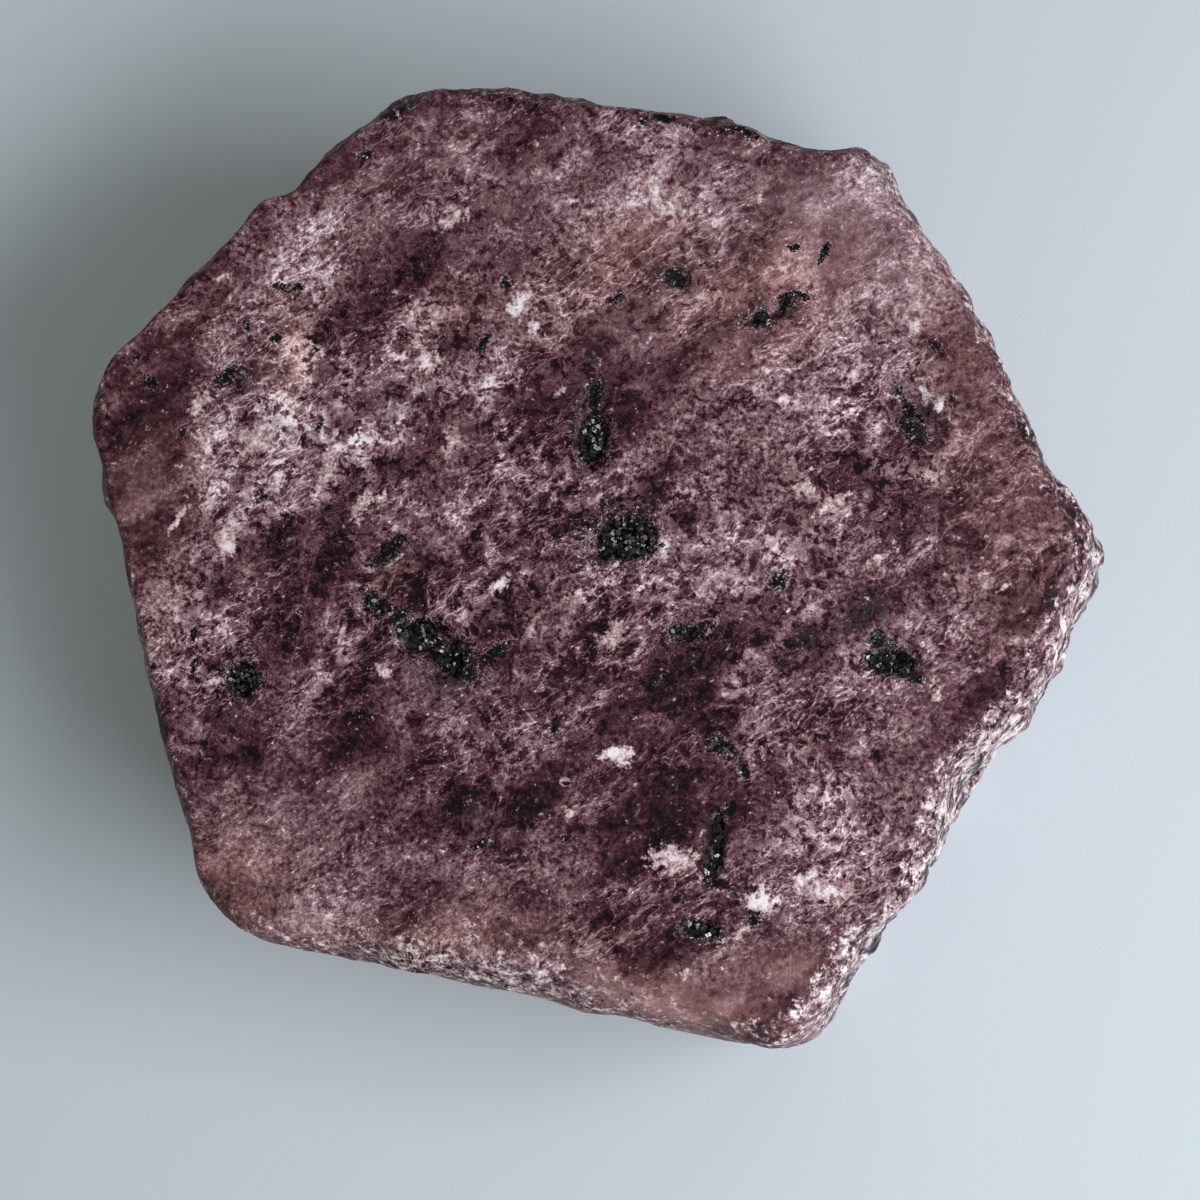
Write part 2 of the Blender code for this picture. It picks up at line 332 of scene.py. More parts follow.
# Darker and paler zones of the ruby, most of them its own tone and some broad ones painted light:
# x, y, half length, half width, turn, lightness added.
TONE_AND_PAINTED_LIGHT_ZONES = (
    (-24.0, 6.0, 3.0, 6.0, -10, -0.02),
    (-16.0, 6.5, 6.5, 4.0, 40, 0.07),
    (-16.5, 1.8, 1.7, 1.9, 0, -0.13),
    (-12.0, 5.0, 1.6, 1.2, 40, -0.10),
    (-11.0, 14.0, 4.5, 2.0, 40, -0.05),
    (-14.5, -9.0, 5.0, 4.0, 30, -0.06),
    (-9.0, -12.5, 3.5, 2.0, 30, -0.07),
    (-12.0, -15.2, 3.0, 1.5, 20, -0.06),
    (-11.5, -18.0, 3.5, 1.2, 0, -0.06),
    (-4.0, -17.3, 3.0, 1.8, 0, -0.11),
    (5.5, -13.0, 4.2, 2.6, 10, -0.07),
    (1.5, -1.8, 2.5, 1.2, 20, -0.08),
    (14.5, -16.3, 2.5, 1.4, 20, -0.04),
    (16.5, -9.5, 3.0, 1.8, 20, -0.10),
    (6.0, 3.2, 4.0, 1.6, 25, -0.10),
    (8.5, 7.8, 2.2, 1.1, 25, -0.08),
    (2.5, 7.3, 1.2, 1.0, 0, -0.08),
    (-2.0, 10.5, 2.0, 1.0, 20, -0.08),
    (-2.5, 4.5, 3.5, 1.4, 35, -0.05),
    (-5.5, -3.5, 3.0, 1.5, 25, -0.07),
    (0.0, -5.5, 3.5, 1.4, 20, -0.04),
    (21.5, 2.7, 1.6, 1.2, 0, -0.07),
    (1.5, 21.5, 3.0, 1.4, 5, -0.05),
    (9.0, 20.0, 2.4, 1.2, 10, -0.04),
    (-5.5, 21.0, 5.0, 3.0, 15, 0.04),
    (3.0, 16.5, 3.0, 1.5, 20, 0.15),
    (9.6, 14.2, 3.0, 1.6, 20, 0.12),
    (10.5, 11.0, 4.5, 1.4, 20, 0.10),
    (16.0, 14.5, 4.5, 4.0, 20, 0.06),
    (-14.0, 18.5, 3.5, 2.0, 45, 0.06),
    (-15.8, 12.0, 0.8, 3.0, 0, 0.08),
    (-7.0, 8.5, 3.0, 2.0, 40, 0.05),
    (12.5, 0.5, 4.0, 2.0, 25, 0.05),
    (-1.0, -3.2, 3.5, 1.2, 20, 0.04),
    (8.5, -2.2, 3.5, 1.4, 25, 0.06),
    (-16.5, -4.0, 1.5, 4.0, 20, 0.04),
    (-15.0, -12.0, 2.5, 1.2, 30, 0.05),
    (10.0, -14.8, 3.0, 2.4, 0, 0.03),
    (22.0, 6.0, 4.0, 9.0, 10, 0.05),
    (11.0, -22.2, 4.5, 2.0, -5, 0.03),
    (7.5, -24.4, 3.2, 1.1, -5, 0.14),
    (-7.0, -20.3, 7.0, 0.9, 0, 0.06),
    (-9.2, 6.9, 0.7, 0.65, 0, -0.13),
    (-11.6, 4.8, 1.4, 0.5, 15, -0.12),
    (-13.2, 0.2, 0.8, 1.6, -10, -0.11),
    (-18.7, 4.0, 0.65, 0.55, 0, -0.12),
    (-8.6, -1.5, 1.7, 1.1, 20, -0.11),
    (-23.6, 8.6, 1.3, 0.9, 0, -0.05),
    (-14.0, 4.0, 0.7, 0.3, 0, -0.10),
    (-5.6, 1.2, 0.5, 1.2, -30, -0.07),
    (-20.6, -0.3, 1.1, 0.9, 0, -0.06),
    (-11.4, -3.8, 1.3, 0.7, 0, -0.07),
    (-14.8, 12.0, 0.9, 0.7, 0, -0.07),
    (-17.6, 6.2, 2.1, 0.8, 40, 0.09),
    (-13.6, 5.1, 0.35, 1.1, -20, 0.16),
    (-19.2, 1.7, 0.6, 1.6, -10, 0.12),
    (-18.3, -0.6, 0.7, 1.0, 10, 0.10),
    (-14.6, 1.1, 0.6, 1.9, -8, 0.12),
    (-10.5, 3.9, 0.7, 0.8, 0, 0.10),
    (-6.8, 6.5, 0.6, 1.7, -10, 0.12),
    (-10.8, 7.9, 1.8, 0.45, 25, 0.10),
    (-19.9, 11.6, 1.2, 0.3, 10, 0.10),
    (-17.4, 10.1, 0.4, 1.6, 0, 0.07),
    (-12.8, 11.5, 0.9, 0.5, 30, 0.09),
    (-8.6, 9.2, 0.9, 0.5, 40, 0.10),
    (-6.4, 1.8, 0.9, 0.7, 0, 0.08),
    (-6.3, -0.6, 0.5, 1.5, -35, 0.08),
    (-14.3, -2.8, 1.0, 1.4, 0, 0.05),
    (9.5, 20.5, 2.6, 0.8, 15, -0.06),
    (8.8, 7.8, 1.5, 0.8, 20, -0.09),
    (5.3, 3.3, 2.4, 1.0, 20, -0.06),
    (15.9, 12.1, 2.4, 0.6, 15, -0.06),
    (19.1, 10.2, 1.0, 0.7, 60, -0.07),
    (14.9, 8.1, 0.7, 0.4, 30, -0.08),
    (4.4, 20.0, 0.7, 1.2, 0, 0.10),
    (11.2, -12.2, 1.4, 1.2, 0, 0.04),
    (13.0, -4.6, 2.2, 0.8, 35, -0.10),
    (15.1, -2.7, 1.4, 0.7, 20, -0.06),
    # Painted light: the next four broad zones make the upper part of the sawn face paler and its lower left
    # darker, a painted sheen from above and painted shade.
    (14.0, 17.5, 7.0, 4.0, -25, 0.14),
    (-7.5, 19.5, 6.5, 5.0, 20, 0.10),
    (2.5, 20.5, 8.0, 3.5, -10, 0.09),
    (-8.0, -13.0, 7.0, 4.5, 20, -0.06),
    (12.0, -25.0, 1.6, 0.8, 40, 0.16),
    (9.5, -22.6, 4.0, 0.7, -5, 0.06),
    (-13.3, -20.2, 5.0, 1.0, -8, 0.10),
    (-3.5, -21.9, 3.6, 1.0, -15, 0.13),
    (3.0, -23.6, 3.0, 0.9, -15, 0.15),
    # Painted sheen: a broad paler zone over the upper middle of the sawn face.
    (6.0, 14.0, 9.0, 4.0, 25, 0.12),
    (6.0, -24.0, 6.0, 1.5, -14, 0.18),
)

# Salmon pink and brown places: x, y, half length, half width, turn, warmth.
WARM_PLACES = (
    (-19.0, -18.0, 3.5, 3.0, 40, 0.7),
    (-24.5, 3.0, 3.0, 8.0, -10, 0.4),
    (9.6, 14.2, 2.6, 1.8, 20, 0.9),
    (3.0, 16.5, 2.6, 1.6, 20, 0.7),
    (-15.8, 12.0, 1.2, 3.2, 0, 0.6),
    (22.5, 4.0, 3.0, 10.0, 12, 0.4),
    (21.0, 9.5, 2.4, 3.0, 20, 0.5),
    (-7.0, -20.3, 8.0, 1.2, 0, 0.7),
    (7.5, -24.4, 3.4, 1.3, -5, 0.8),
    (10.5, 11.0, 4.0, 1.2, 20, 0.5),
    (-22.0, 13.5, 2.5, 2.0, 45, 0.3),
    (-10.0, -0.8, 0.8, 0.6, 0, 0.8),
    (-11.4, 20.8, 0.8, 0.5, 0, 0.8),
    (-6.5, 13.5, 2.5, 1.6, 30, 0.4),
    (21.3, 10.0, 1.2, 2.6, 25, 0.6),
    (8.8, 13.9, 1.6, 1.0, 0, 0.8),
    (3.0, -23.6, 3.0, 1.0, -15, 0.5),
    (12.0, -22.5, 4.0, 1.4, -5, 0.5),
    (2.0, 15.0, 5.0, 2.5, 25, 0.5),
    (10.0, 13.5, 5.0, 2.5, 25, 0.6),
    (6.0, -24.0, 6.0, 1.5, -14, 0.8),
)

# Places with few veins, smooth and dusty: x, y, half length, half width, turn, how smooth.
SMOOTH_PLACES = (
    (-24.0, 6.0, 2.6, 7.5, -10, 0.9),
    (-13.0, -13.0, 8.0, 6.0, 30, 0.55),
    (-19.0, -17.0, 4.0, 4.0, 30, 0.6),
    (11.5, -22.5, 4.5, 2.2, -5, 0.9),
    (7.5, -24.4, 3.4, 1.3, -5, 0.9),
    (-6.0, -18.5, 8.0, 2.4, 0, 0.6),
    (22.5, 6.0, 3.0, 9.0, 12, 0.5),
    (4.5, -13.0, 4.0, 2.6, 10, 0.5),
    (13.5, 17.5, 6.5, 3.5, -30, 0.6),
    (-9.0, 22.5, 5.5, 2.5, 15, 0.4),
    (5.0, -23.8, 6.0, 1.8, -14, 0.8),
    (18.5, -9.0, 4.0, 2.0, 55, 0.6),
)

# Places with a strong net of pale veins: x, y, half length, half width, turn, how strong.
VEINED_PLACES = (
    (-15.5, 6.0, 8.0, 5.5, 40, 1.0),
    (-7.0, 9.0, 5.0, 4.5, 40, 0.8),
    (-1.0, -1.0, 9.0, 4.0, 25, 0.5),
    (9.5, -3.5, 6.0, 3.0, 25, 0.7),
    (13.0, -14.0, 4.5, 4.5, 0, 0.7),
    (14.0, 3.0, 7.0, 4.0, 25, 0.6),
    (-2.0, 17.5, 9.0, 3.5, 20, 0.5),
    (-14.5, -6.0, 5.0, 6.0, 20, 0.4),
)

# Cracks and saw scratches: from x, y to x, y, half width in mm and paleness.
SCRATCHES = (
    (-3.3, -7.8, -1.8, -9.5, 0.06, 1.0),
    (-3.6, -12.1, -3.9, -14.6, 0.035, 0.6),
    (-4.0, -12.1, -4.8, -14.8, 0.04, 0.6),
    (-4.3, -12.1, -5.5, -14.1, 0.035, 0.5),
    (-6.7, -10.1, -6.4, -11.4, 0.05, 0.9),
    (-7.8, -3.4, -6.6, -1.3, 0.10, 0.6),
    (-7.5, -3.4, -5.7, -2.6, 0.07, 0.8),
    (-7.6, -3.2, -5.5, -0.1, 0.12, 0.4),
    (0.1, -8.5, 1.9, -8.0, 0.08, 0.8),
    (2.3, -10.7, 3.2, -9.5, 0.09, 0.6),
    (-0.7, -12.8, -0.5, -10.9, 0.05, 0.4),
    (7.6, -5.6, 8.6, -4.5, 0.06, 0.5),
    (13.3, -6.9, 12.2, -9.6, 0.07, 0.9),
    (22.0, -4.9, 21.9, -6.8, 0.04, 0.6),
    (24.5, 0.2, 24.8, -1.9, 0.10, 0.5),
    (22.2, 0.2, 21.5, -0.9, 0.06, 0.7),
    (15.7, -3.7, 16.0, -4.7, 0.06, 0.6),
    (15.4, -6.0, 15.8, -4.7, 0.05, 0.7),
    (9.9, -3.0, 12.1, -2.4, 0.06, 0.5),
    (-14.6, -0.9, -15.0, -2.3, 0.10, 0.8),
    (-15.0, -2.3, -16.5, -3.8, 0.14, 0.5),
    (-14.3, -0.9, -16.4, -8.6, 0.07, 0.4),
    (-20.1, -4.0, -17.8, -3.6, 0.06, 0.6),
    (-13.7, -1.5, -12.0, -1.3, 0.07, 0.7),
    (-12.8, 6.3, -13.6, 4.4, 0.06, 0.8),
    (-1.3, -17.5, -1.5, -20.4, 0.05, 0.5),
    (-0.9, -17.3, -0.9, -20.6, 0.04, 0.5),
    (-0.6, -17.6, -0.4, -20.2, 0.05, 0.4),
    (-0.5, -20.5, -2.6, -22.3, 0.06, 0.5),
    (-10.5, -19.5, -8.0, -18.0, 0.06, 0.5),
    (12.0, 13.5, 13.9, 13.9, 0.10, 0.5),
    (14.6, 8.5, 15.5, 9.8, 0.08, 0.8),
    (10.5, -19.0, 17.0, -18.9, 0.10, 0.6),
    (9.2, -20.8, 8.9, -24.2, 0.04, 0.3),
    (11.4, -20.4, 11.3, -24.0, 0.04, 0.3),
)

# ---------------------------------------------------------------- the crust on the natural sides
# The pale crust at some stations: how far it reaches over the sawn face in mm, and how well it covers
# the rim and the side, from -1, bare, to 1, covered.
CRUST = (
    (0.0, 0.3, -0.8, -0.5),
    (0.6, 0.3, -0.7, -0.5),
    (1.0, 0.8, -0.6, -0.3),
    (1.15, 1.8, -0.2, -0.2),
    (1.4, 2.2, 0.10, -0.1),
    (1.6, 2.2, 0.20, 0.0),
    (1.72, 1.4, -0.2, 0.0),
    (1.8, 0.8, -0.7, -0.4),
    (1.92, 0.8, -0.6, -0.2),
    (2.05, 0.8, 0.0, 0.3),
    (2.2, 0.6, 0.0, 0.8),
    (2.6, 0.6, -0.1, 1.0),
    (2.8, 0.5, -0.4, 0.8),
    (3.05, 0.6, -0.6, 0.5),
    (3.3, 0.5, -0.5, 0.4),
    (3.8, 0.5, -0.5, 0.3),
    (3.95, 0.5, -0.2, 0.0),
    (4.2, 0.3, -0.8, -0.4),
    (5.3, 0.3, -0.8, -0.5),
)
RIM_BAND = 1.3  # depth in mm over which the rim's cover turns into the side's


def linear(code, alpha=1.0):
    """An sRGB hex colour as linear red, green, blue and alpha."""
    shares = np.array([int(code[place : place + 2], 16) for place in (1, 3, 5)]) / 255
    shares = np.where(shares <= 0.04045, shares / 12.92, ((shares + 0.055) / 1.055) ** 2.4)
    return (*shares.tolist(), alpha)


# Lightness of the sawn ruby, as a share of white, and its colour there.
RUBY_SHADES = (
    (0.02, "#080103"),
    (0.09, "#240c14"),
    (0.17, "#3d1b24"),
    (0.24, "#512f37"),
    (0.31, "#654249"),
    (0.38, "#77555b"),
    (0.47, "#8c6c71"),
    (0.57, "#a6868b"),
    (0.70, "#c4a9ad"),
    (0.85, "#e4d3d6"),
    (1.00, "#fcf6f7"),
)

RUBY_LIGHTNESS = 0.262  # of the ruby where nothing else lies
CLOUD_CONTRAST = 1.42  # how far the clouds' lightness spreads
GRAIN_TURN = 32  # which way the grain runs on the sawn face, in degrees
GRAIN_STRETCH = 1.6  # how much longer the grain's patches are than wide
STRAIGHTER = 1.8  # how much longer still the straighter threads are

# Sizes of the patterns in mm. A pixel of the finished picture covers about 0.05 mm, and the pale specks
# and the mica grain, the finest, are drawn as coarse as they need to be to show in it.
CLOUD = 7.0
VEIN_PATCH = 3.4  # the patches where one kind of thread, cell or speck shows
CURLY_THREAD = 2.2
CELL = 1.9
STRAIGHT_THREAD = 0.9
SMALL_CELL = 0.85
COARSE_GRAIN = 0.62
FINE_GRAIN = 0.28
# Pale specks: dust, and painted glints of the sawn face's grains.
DUST_AND_GLINT = 0.14
MICA_GRAIN = 0.12
CRUST_FLAKE = 0.8
SILVER_PATCH = 2.6

CRUST_LAYERING = 1.3  # how much thinner than wide the crust's flakes lie
CURL_SIZE = 1.6  # size in mm of the bends in the threads
CURL_AMOUNT = 0.9  # how far they bend, in mm
RELIEF = 0.05  # greatest height of the finest relief, in mm
HAZE_GREY = "#2b2b2a"

# The other minerals' colours, from the darkest to the palest share of their own noise.
FELDSPAR_SHADES = ((0.2, "#8d6f70"), (0.5, "#c0a3a4"), (0.8, "#e6d8d9"), (1.0, "#fbf7f7"))
# Painted glints: the palest stops of the mica's shades stand for glints of light on its plates.
MICA_AND_GLINT_SHADES = ((0.0, "#020202"), (0.53, "#0b0a0c"), (0.60, "#222125"), (0.67, "#67666a"), (0.74, "#f0eff1"))
CRUST_SHADES = (
    (0.35, "#191315"),
    (0.42, "#5b4447"),
    (0.48, "#937a7c"),
    (0.54, "#c6b2b2"),
    (0.61, "#ece0de"),
    (0.68, "#fffdfc"),
)
SILVER_SHADES = ((0.36, "#151415"), (0.46, "#474546"), (0.54, "#868383"), (0.63, "#dfdddd"))
# Painted glints: the palest stops of the books' shades stand for glints of light on single plates, the grey
# ones for weathering.
BOOK_AND_GLINT_SHADES = ((0.0, "#020202"), (0.66, "#0b0a0c"), (0.92, "#232327"), (0.97, "#6b6b6e"), (1.0, "#cfcfd2"))

# What the surface stores at each point for its material.
FIELDS = ("mica", "feldspar", "whiteness", "haze", "lightness", "warmth", "smoothness", "veining", "crust")
LEAST_BOOK_PATCH = 0.33  # half width of the narrowest patch with mica books of its own, in mm


def noise_3d(points, size, seed):
    """Smooth noise from -1 to 1: a random number at each corner of a cubic lattice with this spacing,
    blended between the corners by the curve 3t^2 - 2t^3. The CAD solid's lumps use the same."""
    lattice = np.random.default_rng(seed).uniform(-1, 1, (LATTICE, LATTICE, LATTICE))
    place = points / size + LATTICE
    cell = np.floor(place).astype(int)
    blend = place - cell
    blend = blend * blend * (3 - 2 * blend)
    total = np.zeros(points.shape[:-1])
    for corner in itertools.product((0, 1), repeat=3):
        share = np.prod(np.where(corner, blend, 1 - blend), axis=-1)
        i, j, k = np.moveaxis((cell + corner) % LATTICE, -1, 0)
        total += share * lattice[i, j, k]
    return total


def straying(points, rule):
    """Noise of a given amount, size and seed."""
    amount, size, seed = rule
    return amount * noise_3d(points, size, seed)


def corner_arc(number, steps=12):
    """A corner's rounding: points on an arc that touches both sides, and the station of each."""
    places = np.array([place[:2] for place in CORNERS.values()])
    radius = list(CORNERS.values())[number][2]
    corner = places[number]
    before = places[number - 1] - corner
    after = places[(number + 1) % SIDES] - corner
    reach_before, reach_after = np.hypot(*before), np.hypot(*after)
    half_angle = math.acos(before @ after / reach_before / reach_after) / 2
    tangent = radius / math.tan(half_angle)
    inward = before / reach_before + after / reach_after
    centre = corner + inward / np.hypot(*inward) * radius / math.sin(half_angle)
    start = corner + before / reach_before * tangent - centre
    share = np.linspace(0, 1, steps + 1)
    turn = (math.pi - 2 * half_angle) * share
    x = centre[0] + np.cos(turn) * start[0] - np.sin(turn) * start[1]
    y = centre[1] + np.sin(turn) * start[0] + np.cos(turn) * start[1]
    reach = tangent * (2 * share - 1)
    station = number + reach / np.where(reach < 0, reach_before, reach_after)
    return np.column_stack((x, y, station))


def outline(count):
    """Equal steps round the widest section: the points, for each the move that carries its side out by
    1 mm without closing up a corner, and the stations."""
    dense = np.vstack([corner_arc(number) for number in range(SIDES)])
    dense = np.vstack((dense, dense[0] + (0, 0, SIDES)))
    walked = np.concatenate(([0], np.cumsum(np.hypot(*np.diff(dense[:, :2], axis=0).T))))
    at = np.arange(count) * walked[-1] / count
    x, y, station = (np.interp(at, walked, column) for column in dense.T)
    points = np.column_stack((x, y))
    along = np.roll(points, -4, axis=0) - np.roll(points, 4, axis=0)
    normals = np.column_stack((along[:, 1], -along[:, 0])) / np.hypot(*along.T)[:, None]
    outward = points / np.sum(points * normals, axis=1)[:, None]
    return points, outward, station % SIDES


def by_station(station, table):
    """The columns of a table, each read off between its stations."""
    places, *columns = zip(*table)
    return [np.interp(station, places, column, period=SIDES) for column in columns]


def swelling(station):
    """How far the sides stand out from the straight outline: a hump (1 - d^2)^2 for each entry."""
    total = np.zeros(len(station))
    for place, half_width, height in SWELLINGS:
        away = (station - place + SIDES / 2) % SIDES - SIDES / 2
        total += height * np.clip(1 - (away / half_width) ** 2, 0, 1) ** 2
    return total


def ledge_inset(around, level):
    """How far the ledges draw in the side: at each ledge a step whose size varies round the crystal,
    then a slope that is back out at the next ledge."""
    total = np.zeros(level.shape)
    everywhere, varies, size, seed = LEDGE_STRENGTH
    for number, (place, following) in enumerate(zip(LEDGES, (*LEDGES[1:], HEIGHT))):
        strength = np.clip(everywhere + varies * noise_3d(around, size, seed + number), 0, 1)
        below = level - place
        grown_back = below / (following - place)
        inset = LEDGE_STEP * strength * np.minimum(1, below / LEDGE_DROP) * (1 - grown_back)
        total += np.where((below > 0) & (grown_back < 1), inset, 0)
    return total


def side_surface(station, points, outward):
    """The natural side, row by row from the sawn face down: out(t, depth) is the outline moved by its
    swelling, less the rim's and the foot's rounding, plus lumps, less the ledges, plus the terraces and
    roughness of the crust. The rim's inset strays further, and the terraces and the roughness are
    larger, the more broken up the side is there, and the lumps grow with its square root. Gives the
    points as an array of row, point and x, y, z, and the depth of each."""
    around = np.column_stack((points, np.zeros(len(points))))
    rim_inset, rim_depth, foot_inset, broken = by_station(station, EDGES)
    rim_inset = rim_inset * (1 + broken * straying(around, CHIPPING))
    rim_depth = rim_depth * (1 + straying(around, CHIP_DEPTH))
    rim = np.linspace(0, 1, RIM_ROWS)[:, None] ** RIM_CROWDING * rim_depth
    down = np.linspace(0, 1, SIDE_ROWS + 1)[1:, None]
    depth = np.vstack((rim, rim_depth + down * (HEIGHT - rim_depth)))
    level = depth - straying(around, WANDER) * np.sin(math.pi * depth / HEIGHT)
    above = np.clip(1 - depth / rim_depth, 0, 1)
    below = np.clip((depth - rim_depth) / (HEIGHT - rim_depth), 0, 1)
    flat = np.broadcast_to(points, (*depth.shape, 2))
    place = np.concatenate((flat, (HEIGHT - depth)[..., None]), axis=2)
    out = swelling(station) - rim_inset * above**RIM_POWER - foot_inset * below**FOOT_POWER
    out = out + broken**0.5 * sum(straying(place, rule) for rule in LUMPS) - ledge_inset(around, level)
    amount, size, seed = TERRACES
    terrace = np.round(noise_3d(place * (1, 1, 1.6), size, seed) * TERRACE_LEVELS) / TERRACE_LEVELS
    bared = np.clip(depth / RIM_BAND, 0.15, 1) * np.clip((HEIGHT - depth) / RIM_BAND, 0, 1)
    out = out + broken * bared * (amount * terrace + sum(straying(place, rule) for rule in SIDE_ROUGHNESS))
    sides = np.concatenate((flat + outward * out[..., None], (HEIGHT - depth)[..., None]), axis=2)
    return sides, depth


def sawn_cap(edge):
    """The sawn top: concentric squares carried to the edge of the side. The point at share s of the way
    out and t of the way round is s * edge(t); its grid place is s times the unit square's border at t.
    Gives the points, their places round the edge and their distances in from it."""
    steps = np.linspace(-1, 1, CAP_STEPS + 1)
    u, v = (grid.ravel() for grid in np.meshgrid(steps, steps, indexing="ij"))
    share = np.maximum(abs(u), abs(v))
    a, b = u / np.maximum(share, 1e-9), v / np.maximum(share, 1e-9)
    eighths = np.select((a > 1 - 1e-6, b > 1 - 1e-6, a < 1e-6 - 1), (b + 1, 3 - a, 5 - b), 7 + a)
    around = eighths / 8 % 1 * len(edge)
    at = np.arange(len(edge))
    x, y = (np.interp(around, at, edge[:, column], period=len(edge)) for column in (0, 1))
    cap = np.column_stack((share * x, share * y, np.full(len(share), HEIGHT)))
    return cap, around, (1 - share) * np.hypot(x, y)


def ellipse_share(points, x, y, half_length, half_width, turn):
    """How far out each point lies in a turned ellipse: 0 at its centre and 1 on its edge."""
    angle = math.radians(turn)
    away = points[..., :2] - (x, y)
    along = away @ (math.cos(angle), math.sin(angle)) / half_length
    across = away @ (-math.sin(angle), math.cos(angle)) / half_width
    return np.hypot(along, across)


def pit_floor(points):
    """How deep the pits are: depth * sqrt(1 - e^2) in each pit's ellipse, whose edge strays, with flat
    tilted facets: each point takes the plane of the nearest of some scattered facet centres."""
    random = np.random.default_rng(70)
    spacing, slope = FACET
    total = np.zeros(len(points))
    strayed = points + np.column_stack([straying(points, (0.28, 0.8, seed)) for seed in (71, 72, 73)])
    for x, y, half_length, half_width, depth, turn in PITS.values():
        share = ellipse_share(strayed, x, y, half_length, half_width, turn)
        inside = np.flatnonzero(share < 1)
        count = max(3, int(half_length * half_width / spacing**2 * 3))
        centres = random.uniform(-1, 1, (count, 2)) * half_length + (x, y)
        tilts = random.uniform(-slope, slope, (count, 2))
        away = points[inside, None, :2] - centres
        nearest = np.argmin(np.hypot(away[..., 0], away[..., 1]), axis=1)
        offset = np.take_along_axis(away, nearest[:, None, None], axis=1)[:, 0]
        facets = np.sum(offset * tilts[nearest], axis=1)
        bowl = depth * np.sqrt(1 - share[inside] ** 2)
        total[inside] = np.maximum(total[inside], np.clip(bowl + facets * bowl / depth, 0, depth * 1.2))
    return total


def patch_field(points, patches):
    """1 at the middle of the nearest patch, 0 on its drawn edge, down to -2 outside."""
    total = np.full(len(points), -2.0)
    for patch in patches:
        total = np.maximum(total, 1 - ellipse_share(points, *patch[:5]))
    return total


def cloud_field(points, places, combine=np.add):
    """Soft patches: strength * (1 - (e / 1.6)^2)^2 inside 1.6 times each ellipse."""
    total = np.zeros(len(points))
    for *ellipse, strength in places:
        share = ellipse_share(points, *ellipse) / 1.6
        total = combine(total, strength * np.clip(1 - share**2, 0, 1) ** 2)
    return total


def new_piece(name, points, faces, material, fields=None, smooth=True):
    """A mesh piece with its place in its mesh: points in mm, faces as lists of point numbers, and
    fields as one number for each point."""
    mesh = bpy.data.meshes.new(name)
    mesh.from_pydata((points * MM).tolist(), [], faces)
    for field, values in (fields or {}).items():
        stored = mesh.attributes.new(field, "FLOAT", "POINT")
        stored.data.foreach_set("value", values.astype(np.float32))
    if smooth:
        mesh.shade_smooth()
    mesh.materials.append(material)
    mesh.update()
    piece = bpy.data.objects.new(name, mesh)
    bpy.context.scene.collection.objects.link(piece)
    return piece


def crystal_faces(rows, ring):
    """The faces of the whole crystal: the cap's grid, the bands from the cap's border down the side and
    across the lower face, and the fan at its middle."""
    numbers = np.arange((CAP_STEPS + 1) ** 2).reshape(CAP_STEPS + 1, CAP_STEPS + 1)
    cap = np.stack((numbers[:-1, :-1], numbers[1:, :-1], numbers[1:, 1:], numbers[:-1, 1:]), axis=-1)
    border = np.concatenate((numbers[-1, :-1], numbers[:0:-1, -1], numbers[0, :0:-1], numbers[:-1, 0]))
    below = numbers.size + np.arange(rows * ring).reshape(rows, ring)
    bands = np.vstack((border, below))
    beside = np.roll(bands, -1, axis=1)
    side = np.stack((bands[:-1], bands[1:], beside[1:], beside[:-1]), axis=-1)
    middle = np.full(ring, numbers.size + below.size)
    fan = np.column_stack((bands[-1], middle, beside[-1]))
    return [*cap.reshape(-1, 4).tolist(), *side.reshape(-1, 4).tolist(), *fan.tolist()]


def crust_share(station, depth, inland):
    """How well the pale crust covers, from -1, bare, to 1: the rim's cover at the rim and the side's
    further down, and on the sawn face the rim's cover less (1 + cover) * inland / reach."""
    reach, on_rim, on_side = by_station(station, CRUST)
    down = np.clip(depth / RIM_BAND - 0.5, 0, 1)
    return on_rim + (on_side - on_rim) * down - (1 + on_rim) * np.minimum(inland / reach, 1)


def ragged_place(points):
    """Each point moved a little in the sawn face, so that a patch's ellipse gets a straying edge."""
    flat = points * (1, 1, 0)
    return flat + np.column_stack([straying(flat, (0.3, 0.9, seed)) for seed in (81, 82, 83)])


def surface_fields(points, station, depth, inland):
    """What lies where: one number for each point of the surface and each field."""
    strayed = ragged_place(points)
    sunk = depth / PATCH_DEPTH
    return {
        "mica": patch_field(strayed, MICA) - sunk,
        "feldspar": patch_field(strayed, FELDSPAR) - sunk,
        "whiteness": cloud_field(strayed, FELDSPAR, np.maximum),
        "haze": cloud_field(strayed, HAZE, np.maximum),
        # The zones' lightness: mostly the ruby's tone, and in some broad zones a painted sheen and painted
        # shade.
        "lightness": cloud_field(strayed, TONE_AND_PAINTED_LIGHT_ZONES),
        "warmth": cloud_field(strayed, WARM_PLACES, np.maximum),
        "smoothness": cloud_field(strayed, SMOOTH_PLACES, np.maximum),
        "veining": cloud_field(strayed, VEINED_PLACES, np.maximum),
        "crust": crust_share(station, depth, inland),
    }


